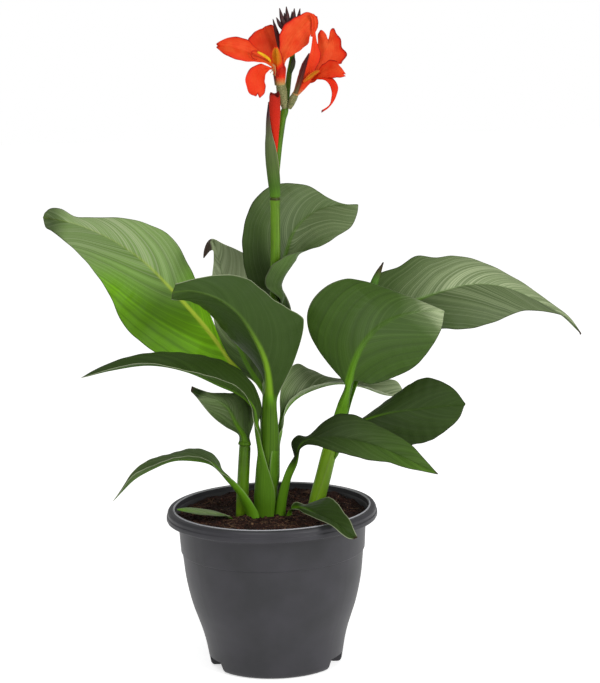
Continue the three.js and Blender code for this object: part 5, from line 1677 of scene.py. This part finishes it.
def streaked_finish(name, stops, edge, roughness):
    """A young skin, streaked lengthwise, whose colour runs through `stops` from its foot to its tip."""
    material, tree, output = blank(name)
    aside, onward, margin = (
        add(tree, "Attribute", attribute_name=key).outputs["Fac"] for key in ("aside", "onward", "margin")
    )
    place = add(tree, "CombineXYZ", {"X": aside, "Y": onward}).outputs[0]
    streak = add(tree, "TexNoise", {"Vector": place, "Scale": 0.9, "Detail": 3}).outputs["Fac"]
    share = add(tree, "Math", {0: onward, 1: 1 / ONWARD}, operation="MULTIPLY")
    ramp = add(tree, "ValToRGB", {"Fac": share.outputs[0]})
    for element, (position, colour) in zip(ramp.color_ramp.elements, (stops[0], stops[-1])):
        element.position, element.color = position, linear(colour)
    for position, colour in stops[1:-1]:
        ramp.color_ramp.elements.new(position).color = linear(colour)
    value = {"Value": streak, "From Min": 0.3, "From Max": 0.7, "To Min": 0.82, "To Max": 1.2}
    value = add(tree, "MapRange", value).outputs[0]
    flesh = add(tree, "HueSaturation", {"Value": value, "Color": ramp.outputs[0]}).outputs[0]
    edged = add(tree, "Mix", {0: margin, 6: flesh, 7: linear(edge)}, data_type="RGBA").outputs[2]
    relief = add(tree, "Bump", {"Height": streak, "Distance": 0.00015, "Strength": 0.5})
    sockets = {
        "Base Color": edged, "Roughness": roughness, "Specular IOR Level": 0.2, "Normal": relief.outputs[0],
    }
    skin = add(tree, "BsdfPrincipled", sockets)
    tree.links.new(skin.outputs[0], output.inputs[0])
    return material


def matt_finish(name, low, high, scale, roughness, depth):
    """A matt living skin, mottled from one colour to another by lumps of the given number per metre."""
    material, tree, output = blank(name)
    place = add(tree, "TexCoord").outputs["Object"]
    lumps = add(tree, "TexNoise", {"Vector": place, "Scale": scale, "Detail": 3, "Roughness": 0.6})
    ramp = add(tree, "ValToRGB", {"Fac": lumps.outputs["Fac"]})
    for stop, (position, colour) in zip(ramp.color_ramp.elements, ((0.35, low), (0.68, high))):
        stop.position, stop.color = position, linear(colour)
    relief = add(tree, "Bump", {"Height": lumps.outputs["Fac"], "Distance": depth, "Strength": 0.7})
    sockets = {
        "Base Color": ramp.outputs[0], "Roughness": roughness, "Specular IOR Level": 0.35,
        "Normal": relief.outputs[0],
    }
    skin = add(tree, "BsdfPrincipled", sockets)
    tree.links.new(skin.outputs[0], output.inputs[0])
    return material


# %% Flowers: one skin for each kind of flesh
petal_skin = petal_finish("canna petal, orange-red", "d8380a", "e65a28", "da2806", "7c0e08")
stamen_skin = petal_finish("stamen, yellow", "c88c0c", "ecc01c", "c8660c", "9c3a08")
bud_skin = matt_finish("closed bud, dark purple", "1a080e", "4e1a1a", 420, 0.55, 0.0003)
ovary_skin = matt_finish("ovary, warty", "4e5a2c", "958e62", 900, 0.75, 0.0005)
bract_stops = [
    (0, "4a7410"), (0.12, "3e6014"), (0.3, "4a6028"), (0.62, "55603a"), (0.76, "4e4632"), (0.86, "402226"),
    (1, "3a1c20"),
]
closed_stops = [(0, "2c4418"), (0.4, "3a4628"), (1, "2e1c22")]
sepal_stops = [(0, "5e5a34"), (0.3, "5c2a1c"), (0.6, "4c1c1a"), (1, "2c161c")]
rolled_stops = [(0, "3d5f16"), (0.86, "46701a"), (0.94, "3a3416"), (1, "241610")]
bract_skin = streaked_finish("bract, grey-green with a bloom", bract_stops, "b4a08c", 0.55)
closed_skin = streaked_finish("closed side bud", closed_stops, "4a3a34", 0.55)
sepal_skin = streaked_finish("canna sepal, purple-brown", sepal_stops, "8c1c12", 0.6)
rolled_skin = streaked_finish("rolled young leaf", rolled_stops, "7c8a50", 0.45)
print(len(bpy.data.materials), "materials so far")


# %% Flowers: blades
PETAL_THICK = 0.45
LEAST_TIP = 0.4  # how far an edge's last point stays from the rib's, so that no face shrinks to nothing


def sheet_surface(lines, bulge, rows=36, half_columns=12, frill=0.3, notch=0.0, scallop=0.03):
    """The lower and upper grid of a petal over three lines, and its paint.

    The margin of each half is frilled by two sine waves that die out towards both ends. A third wave, in
    the blade's own plane, scallops it. `notch` draws the rib back from the tip by that many millimetres.
    """
    rib, left, right = (smooth_curve(lines[name], rows) for name in ("rib", "left", "right"))
    for edge in (left, right):
        reach = np.linalg.norm(edge[-1] - rib[-1])
        if reach < LEAST_TIP:
            edge[-1] = rib[-1] + LEAST_TIP * unit(edge[-2] - rib[-2])
    along = unit(np.gradient(rib, axis=0))
    below = unit(np.cross(along, right - left))
    t = np.linspace(0, 1, rows)
    steps = np.arange(1, half_columns + 1) / half_columns
    share = steps[None, :, None]
    halves = []
    for edge, start in ((left, 0.0), (right, 2.0)):
        chord = (edge - rib) * (1 + scallop * np.sin(np.pi * t) * np.sin(37 * t + 3 * start))[:, None]
        points, width = half_sheet(rib, chord, below, bulge, steps)
        wave = frill * np.sin(np.pi * t) * (np.sin(13 * t + start) + 0.5 * np.sin(31 * t + 2 * start))
        points = points + below[:, None] * wave[:, None, None] * share**2
        drawn = notch * smoothstep(t, 0.8, 1)[:, None, None] * np.clip(1 - 1.6 * share, 0, 1)
        points = points - along[:, None] * drawn
        halves.append((points, width[:, None] * steps))
    (left_points, left_way), (right_points, right_way) = halves
    middle = rib - along * (notch * smoothstep(t, 0.8, 1))[:, None]
    grid = np.concatenate([left_points[:, ::-1], middle[:, None], right_points], axis=1)
    aside = np.concatenate([-left_way[:, ::-1], np.zeros((rows, 1)), right_way], axis=1)
    down = unit(np.cross(np.gradient(grid, axis=0), np.gradient(grid, axis=1)))
    whole = abs(aside[:, [0, -1]]).max(axis=1, keepdims=True)
    near_edge = abs(aside) / np.maximum(whole, 1e-6)
    half = PETAL_THICK / 2 * (1 - 0.6 * near_edge**3)[..., None]
    rim = 0.42 * near_edge**2.5 + 0.58 * smoothstep(near_edge, 0.86, 0.97)
    rim = np.maximum(rim, 0.6 * smoothstep(t, 0.93, 1)[:, None])
    paint = {"aside": aside / VEIN_GAP, "onward": t[:, None] * ONWARD + 0 * aside, "margin": rim}
    return grid + down * half, grid - down * half, paint


# %% Flowers: parts and how they are gathered
def gathered(name, parts, skin, node):
    """One piece from several bodies: each part is (points, faces, paint). What isn't painted is zero."""
    points, faces, paint, before = [], [], {}, 0
    for part_points, part_faces, part_paint in parts:
        faces += [[corner + before for corner in face] for face in part_faces]
        points.append(part_points)
        before += len(part_points)
        for key in ("aside", "onward", "margin", "gold", "cream", "tip"):
            values = np.broadcast_to(part_paint.get(key, 0.0), (len(part_points),))
            paint.setdefault(key, []).append(values.astype(float))
    paint = {key: np.concatenate(values) for key, values in paint.items()}
    thing = piece(name, np.vstack(points), faces, [skin], [node], paint, sharp=60)
    print(name, len(thing.data.polygons), "faces")


def blade(lines, gold=0.0, deep=0.0, bruise=0.0, **settings):
    """One petal as a part for `gathered`.

    `gold` gives how yellow it is, as (shares of its length, values); `deep` is how far all of it has taken
    its margin's colour, and `bruise` how brown its tip is.
    """
    lower, upper, paint = sheet_surface(lines, lines["bulge"], **settings)
    t = np.linspace(0, 1, lower.shape[0])[:, None] * np.ones(lower.shape[1])
    paint["gold"] = gold * np.ones_like(t) if np.isscalar(gold) else np.interp(t, *gold)
    taken = np.interp(t, *deep) if isinstance(deep, tuple) else deep
    paint["margin"] = taken + (1 - taken) * paint["margin"]
    paint["tip"] = bruise * smoothstep(t, 0.955, 0.99)
    points, faces, _, paint = sheet_body(lower, upper, paint)
    return points, faces.tolist(), paint


def tube(route, girth, rows=40, columns=24, folds=None, **paint):
    """Rings along a route, as a part for `gathered`.

    `folds` is a function of (share, turn) that multiplies the radius. What is painted is given as (shares of
    the length, values).
    """
    centres = smooth_curve(route, rows)
    share = np.linspace(0, 1, rows)
    turn = 2 * np.pi * np.arange(columns) / columns
    radii = softened(np.interp(share, *np.transpose(girth)))
    swell = np.ones((rows, columns)) * (folds(share[:, None], turn[None]) if folds else 1)
    grid = rings(centres, radii, columns, swell=swell)
    flat = {key: np.interp(share, *value)[:, None] + np.zeros(columns) for key, value in paint.items()}
    flat = {key: values.ravel() for key, values in flat.items()}
    flat["aside"] = np.broadcast_to(turn * ROUND, swell.shape).ravel()
    flat["onward"] = np.broadcast_to(share[:, None] * ONWARD, swell.shape).ravel()
    return grid.reshape(-1, 3), round_faces(rows, columns), flat


# %% Flowers: small things in the throats, as [x, y, z]
# In the left throat, the tip of a narrow inner petal hooks over, and below it hangs a fringe of pale threads.
# In the right one, a yellow lip stands out.
FOLD = {  # the right margin of the upper petal, turned over towards the front
    "rib": [(47.6, 2.6, 586.4), (50.2, 1.8, 582), (50.2, 1, 575), (47.4, 0, 567)],
    "left": [(46.2, 3, 586), (47.6, 2.2, 582), (47.4, 1.2, 575), (46.4, 0.2, 567)],
    "right": [(50, 3, 586.4), (53.2, 2, 582.4), (53, 0.8, 575), (48, -0.2, 566.6)],
    "bulge": -0.2,
}
HOOK = [
    (1.5, -29, 557.4), (-1.2, -31, 558.6), (-4.4, -32, 558.4), (-5.6, -33, 555.6), (-4, -33, 552.6),
    (-0.5, -32, 551.4),
]
FRINGE = [
    [(13, -15, 545.5), (11.5, -17, 542), (9, -19.5, 541)],
    [(13.4, -14.6, 545), (12.4, -17, 540.6), (10.4, -19.5, 538)],
    [(14, -14, 544.6), (13.6, -16, 539.6), (12.6, -18, 536)],
    [(14.6, -13.6, 544), (15, -15, 539), (14.4, -16.6, 535)],
]
LIP = {
    "rib": [(39, -11.4, 528.6), (44, -13.4, 532.6), (49, -15.4, 536.4), (54, -17, 539)],
    "left": [(38.4, -11, 529.6), (43.2, -12.8, 534.8), (48.6, -14.8, 538.6), (53.8, -16.8, 539.6)],
    "right": [(39.6, -11.6, 527.8), (44.8, -13.8, 530.8), (49.6, -15.8, 534.4), (54.2, -17, 538.2)],
    "bulge": 0.2,
}
print(len(FRINGE), "threads in the fringe")

# %% Flowers: the left bloom
throat = ([0, 0.12, 0.35], [0.7, 0.35, 0])
plain = ([0, 0.1, 0.3], [0.25, 0.1, 0])
olive = ([0, 0.2, 0.45, 0.9, 1], [0.25, 0.45, 0.85, 1, 0.9])
left_ways = [
    {"gold": throat, "deep": 0.08, "bruise": 0.5, "notch": 1.8},
    {"gold": plain, "deep": 0.18},
    {"gold": plain},
    {"gold": plain, "deep": 0.32, "notch": 2.6, "bruise": 0.3},
    {"gold": olive, "deep": ([0, 0.3, 0.55, 1], [0.85, 0.8, 0.15, 0.05])},
]
left_parts = [blade(lines, rows=44, **way) for lines, way in zip(LEFT_FLOWER["petals"], left_ways)]
left_parts.append(blade(FOLD, deep=0.15, rows=24, half_columns=8))
hook_girth = [(0, 0.6), (0.5, 0.5), (1, 0.25)]
left_parts.append(tube(HOOK, hook_girth, rows=24, columns=10, margin=([0, 1], [0.6, 0.9])))
for thread in FRINGE:
    left_parts.append(tube(thread, [(0, 0.5), (1, 0.25)], rows=12, columns=8, cream=([0, 1], [0.6, 0.9])))
left_parts.append(
    tube(
        LEFT_FLOWER["tube"],
        LEFT_FLOWER["tube_girth"],
        cream=([0, 0.18, 0.4, 1], [0.9, 0.4, 0, 0]),
        margin=([0, 0.3, 0.6, 1], [0.1, 0.5, 0.75, 0.8]),
        gold=([0, 0.3, 0.6, 1], [0.5, 0.6, 0.6, 0.5]),
    )
)
gathered("flower_left_bloom", left_parts, petal_skin, "flower_left_petals")

# %% Flowers: the right bloom
right_ways = [
    {"gold": plain, "deep": 0.3, "notch": 0.5},
    {"gold": plain, "scallop": 0.07},
    {"gold": plain, "deep": 0.2, "notch": 2, "scallop": 0.06},
    {"gold": ([0, 0.1, 0.25, 0.4], [0.6, 0.5, 0.2, 0]), "deep": 0.5, "bruise": 0.9},
]
right_parts = [blade(lines, rows=44, **way) for lines, way in zip(RIGHT_FLOWER["petals"], right_ways)]
lip_gold = ([0, 0.3, 0.8, 1], [0.3, 0.8, 0.8, 0.4])
right_parts.append(blade(LIP, gold=lip_gold, deep=0.08, rows=24, half_columns=8))
right_parts.append(
    tube(
        RIGHT_FLOWER["tube"],
        RIGHT_FLOWER["tube_girth"],
        cream=([0, 0.2, 0.45, 1], [0.9, 0.5, 0, 0]),
        margin=([0, 0.4, 1], [0.1, 0.3, 0.3]),
    )
)
gathered("flower_right_bloom", right_parts, petal_skin, "flower_right_petals")

# %% Flowers: stamen and sepals
anther = [blade(LEFT_FLOWER["stamen"], rows=20, half_columns=6, frill=0.15)]
gathered("flower_left_anther", anther, stamen_skin, "flower_left_stamen")


def ribbed(share, turn):
    """Three soft keels that run the length and die out at the ends."""
    return 1 + 0.12 * np.sin(np.pi * share) * np.cos(3 * turn)


narrow_sepal = [(14.8, -6, 526), (14, -8, 534), (12.8, -9, 543)]
left_sepals = [
    tube(LEFT_FLOWER["sepal"], LEFT_FLOWER["sepal_girth"], folds=ribbed),
    tube(narrow_sepal, [(0, 0.9), (0.5, 1), (1, 0.3)], rows=20, columns=12),
]
right_sepals = [blade(RIGHT_FLOWER["sepal"], rows=30, half_columns=8, frill=0.1)]
gathered("flower_left_calyx", left_sepals, sepal_skin, "flower_left_sepal")
gathered("flower_right_calyx", right_sepals, sepal_skin, "flower_right_sepal")


# %% Flowers: ovaries
def warty(share, turn):
    """Crossing waves raised to a power, for rows of small round warts, on three lobes."""
    warts = np.abs(np.sin(26 * share + 2 * turn) * np.sin(7 * turn)) ** 0.7
    return 1 + 0.09 * warts + 0.05 * np.cos(3 * turn)


for side, flower in (("left", LEFT_FLOWER), ("right", RIGHT_FLOWER)):
    pod = [tube(flower["ovary"], flower["ovary_girth"], rows=60, columns=48, folds=warty)]
    gathered(f"flower_{side}_seedpod", pod, ovary_skin, f"flower_{side}_ovary")

# %% [markdown]
# ## Buds, bract and the rolled leaf
#
# The closed buds at the top are narrow pointed cones, each wrapped in three sepals. The late bud is a furled
# roll of petals in a half-open bract, and the youngest leaf is still rolled like a spear. A spiral step in
# the radius, as on the shoots, makes each of them read as something rolled up.


# %% Buds
def furled(turns, depth):
    """A roll's outside: the radius drops by `depth` at an edge that winds `turns` times round."""

    def folds(share, turn):
        past = ((turn - 2 * np.pi * turns * share) % (2 * np.pi)) / (2 * np.pi)
        return 1 + depth * (smoothstep(past, 0, 0.06) * (1 - past) - 0.4)

    return folds


SIDE_BUD = {
    "route": [(28.4, 2.6, 535), (30.3, 2, 543), (31.8, 2.8, 550)],
    "girth": [(0, 0.8), (0.4, 2), (0.7, 1.9), (1, 0.5)],
}
BUD_TIPS = [
    (20, 8, 592), (26, 11, 593), (33, 13, 591), (38, 10, 591), (17, 7, 584), (31, 18, 588), (24, 17, 587),
]
BUD_GIRTH = [(0, 1.6), (0.35, 2.6), (0.7, 1.7), (1, 0.35)]
bud_axis = [(29, 8.2, 566.8), (28.6, 9, 571), (28, 9.5, 577)]
heart = np.array(bud_axis[1], float)
bud_parts = [tube(bud_axis, [(0, 2.6), (1, 3.2)], rows=12)]
for tip in np.array(BUD_TIPS, float):
    belly_point = heart + 0.45 * (tip - heart) + np.array([0.25 * (tip[0] - heart[0]), 0, 0])
    bud_parts.append(tube([heart, belly_point, tip], BUD_GIRTH, rows=30, columns=18, folds=ribbed))
gathered("buds_cluster", bud_parts, bud_skin, "buds_purple")
side_bud = [tube(SIDE_BUD["route"], SIDE_BUD["girth"], folds=ribbed)]
gathered("bud_side_closed", side_bud, closed_skin, "bud_side")


# %% The late bud
LATE_BUD = {
    "route": [
        (13, -0.8, 459), (13.3, -1.4, 468), (13.3, -4, 482), (13.4, -7.6, 497), (13.2, -10, 511),
        (13.2, -12.2, 519),
    ],
    "girth": [(0, 0.7), (0.15, 1.4), (0.33, 2.8), (0.55, 4.1), (0.75, 5), (0.97, 4.9), (1, 4.2)],
}


def late_bud():
    """A furled roll whose mouth is a wavy ring: three tips a millimetre high round a cup."""
    rows, columns = 70, 48
    points, _, paint = tube(
        LATE_BUD["route"],
        LATE_BUD["girth"],
        rows=rows,
        columns=columns,
        folds=furled(0.6, 0.3),
        margin=([0, 0.5, 1], [0.6, 0.68, 0.8]),
        tip=([0, 0.97, 0.995, 1], [0, 0, 0.5, 0.7]),
    )
    grid = points.reshape(rows, columns, 3)
    turn = 2 * np.pi * np.arange(columns) / columns
    axis = unit(grid[-1].mean(axis=0) - grid[-8].mean(axis=0))
    lift = 1.3 * np.sin(3 * turn + 0.6) + 0.7 * np.sin(2 * turn)
    grid = grid + smoothstep(np.arange(rows), rows - 12, rows)[:, None, None] * lift[:, None] * axis
    centre = grid[-1].mean(axis=0)
    sinks = ((0.86, 0.6), (0.6, 3), (0.2, 4.5))  # share of the mouth's width, millimetres below it
    cup = [centre + (grid[-1] - centre) * share - depth * axis for share, depth in sinks]
    whole = np.concatenate([grid, np.array(cup)])
    paint = {key: np.r_[values, np.tile(values[-columns:], len(cup))] for key, values in paint.items()}
    return whole.reshape(-1, 3), round_faces(len(whole), columns), paint


gathered("bud_late_furled", [late_bud()], petal_skin, "bud_red")

# %% Bract
# Each row is [point on the axis, radius, degrees it wraps to each side], from the foot to the tip.
SPATHE_ROWS = [
    ((11.1, 4, 426.4), 4.4, 172), ((11.1, 3.6, 432), 5, 160), ((10.8, 2.8, 439), 5.5, 140),
    ((10.2, 1.8, 452), 5.8, 128), ((9.4, -0.4, 466), 5.6, 122), ((8.6, -3.4, 479), 4.8, 112),
    ((8, -7.3, 492), 3.3, 98), ((8, -9.2, 498.5), 2.4, 90), ((8.4, -10.6, 505), 1.6, 80),
    ((8.9, -12.2, 512), 0.8, 70),
]
BRACT_SIDE = 205  # the turn that the bract's back faces, in degrees
BRACT_HALF = 0.35  # half its thickness, in millimetres


def bract():
    """A gutter on a grid: each row turns from the left edge round the rib to the right edge on an arc."""
    rows, columns = 70, 33
    centres = smooth_curve([row[0] for row in SPATHE_ROWS], rows)
    share = np.linspace(0, 1, rows)
    places = np.linspace(0, 1, len(SPATHE_ROWS))
    radii = np.interp(share, places, [row[1] for row in SPATHE_ROWS])
    wraps = np.radians(np.interp(share, places, [row[2] for row in SPATHE_ROWS]))
    side = np.linspace(-1, 1, columns)
    turn = np.radians(BRACT_SIDE) + wraps[:, None] * side
    outward = np.stack([np.cos(turn), np.sin(turn), 0 * turn], axis=-1)
    grid = centres[:, None] + radii[:, None, None] * outward
    paint = {
        "aside": (wraps * radii)[:, None] * side / VEIN_GAP,
        "onward": ONWARD * share[:, None] * np.ones(columns),
        "margin": 0.7 * smoothstep(side, 0.93, 0.99) * np.ones((rows, 1)),
    }
    inner, outer = grid - BRACT_HALF * outward, grid + BRACT_HALF * outward
    points, faces, _, paint = sheet_body(outer, inner, paint)
    return points, faces[:, ::-1].tolist(), paint


gathered("spathe_bract", [bract()], bract_skin, "spathe")

# %% The rolled leaf
SPEAR = {
    "route": [(71, -3.5, 248.4), (77, 6, 268), (84, 20, 292), (92, 34, 320), (99, 42, 342), (107, 44, 358)],
    "girth": [(0, 3), (0.3, 4.2), (0.7, 4), (0.85, 3.4), (0.93, 2.2), (0.98, 0.9), (1, 0.5)],
}
spear = [tube(SPEAR["route"], SPEAR["girth"], rows=90, columns=40, folds=furled(0.9, 0.25))]
gathered("leaf_rolled_spear", spear, rolled_skin, "leaf_rolled")
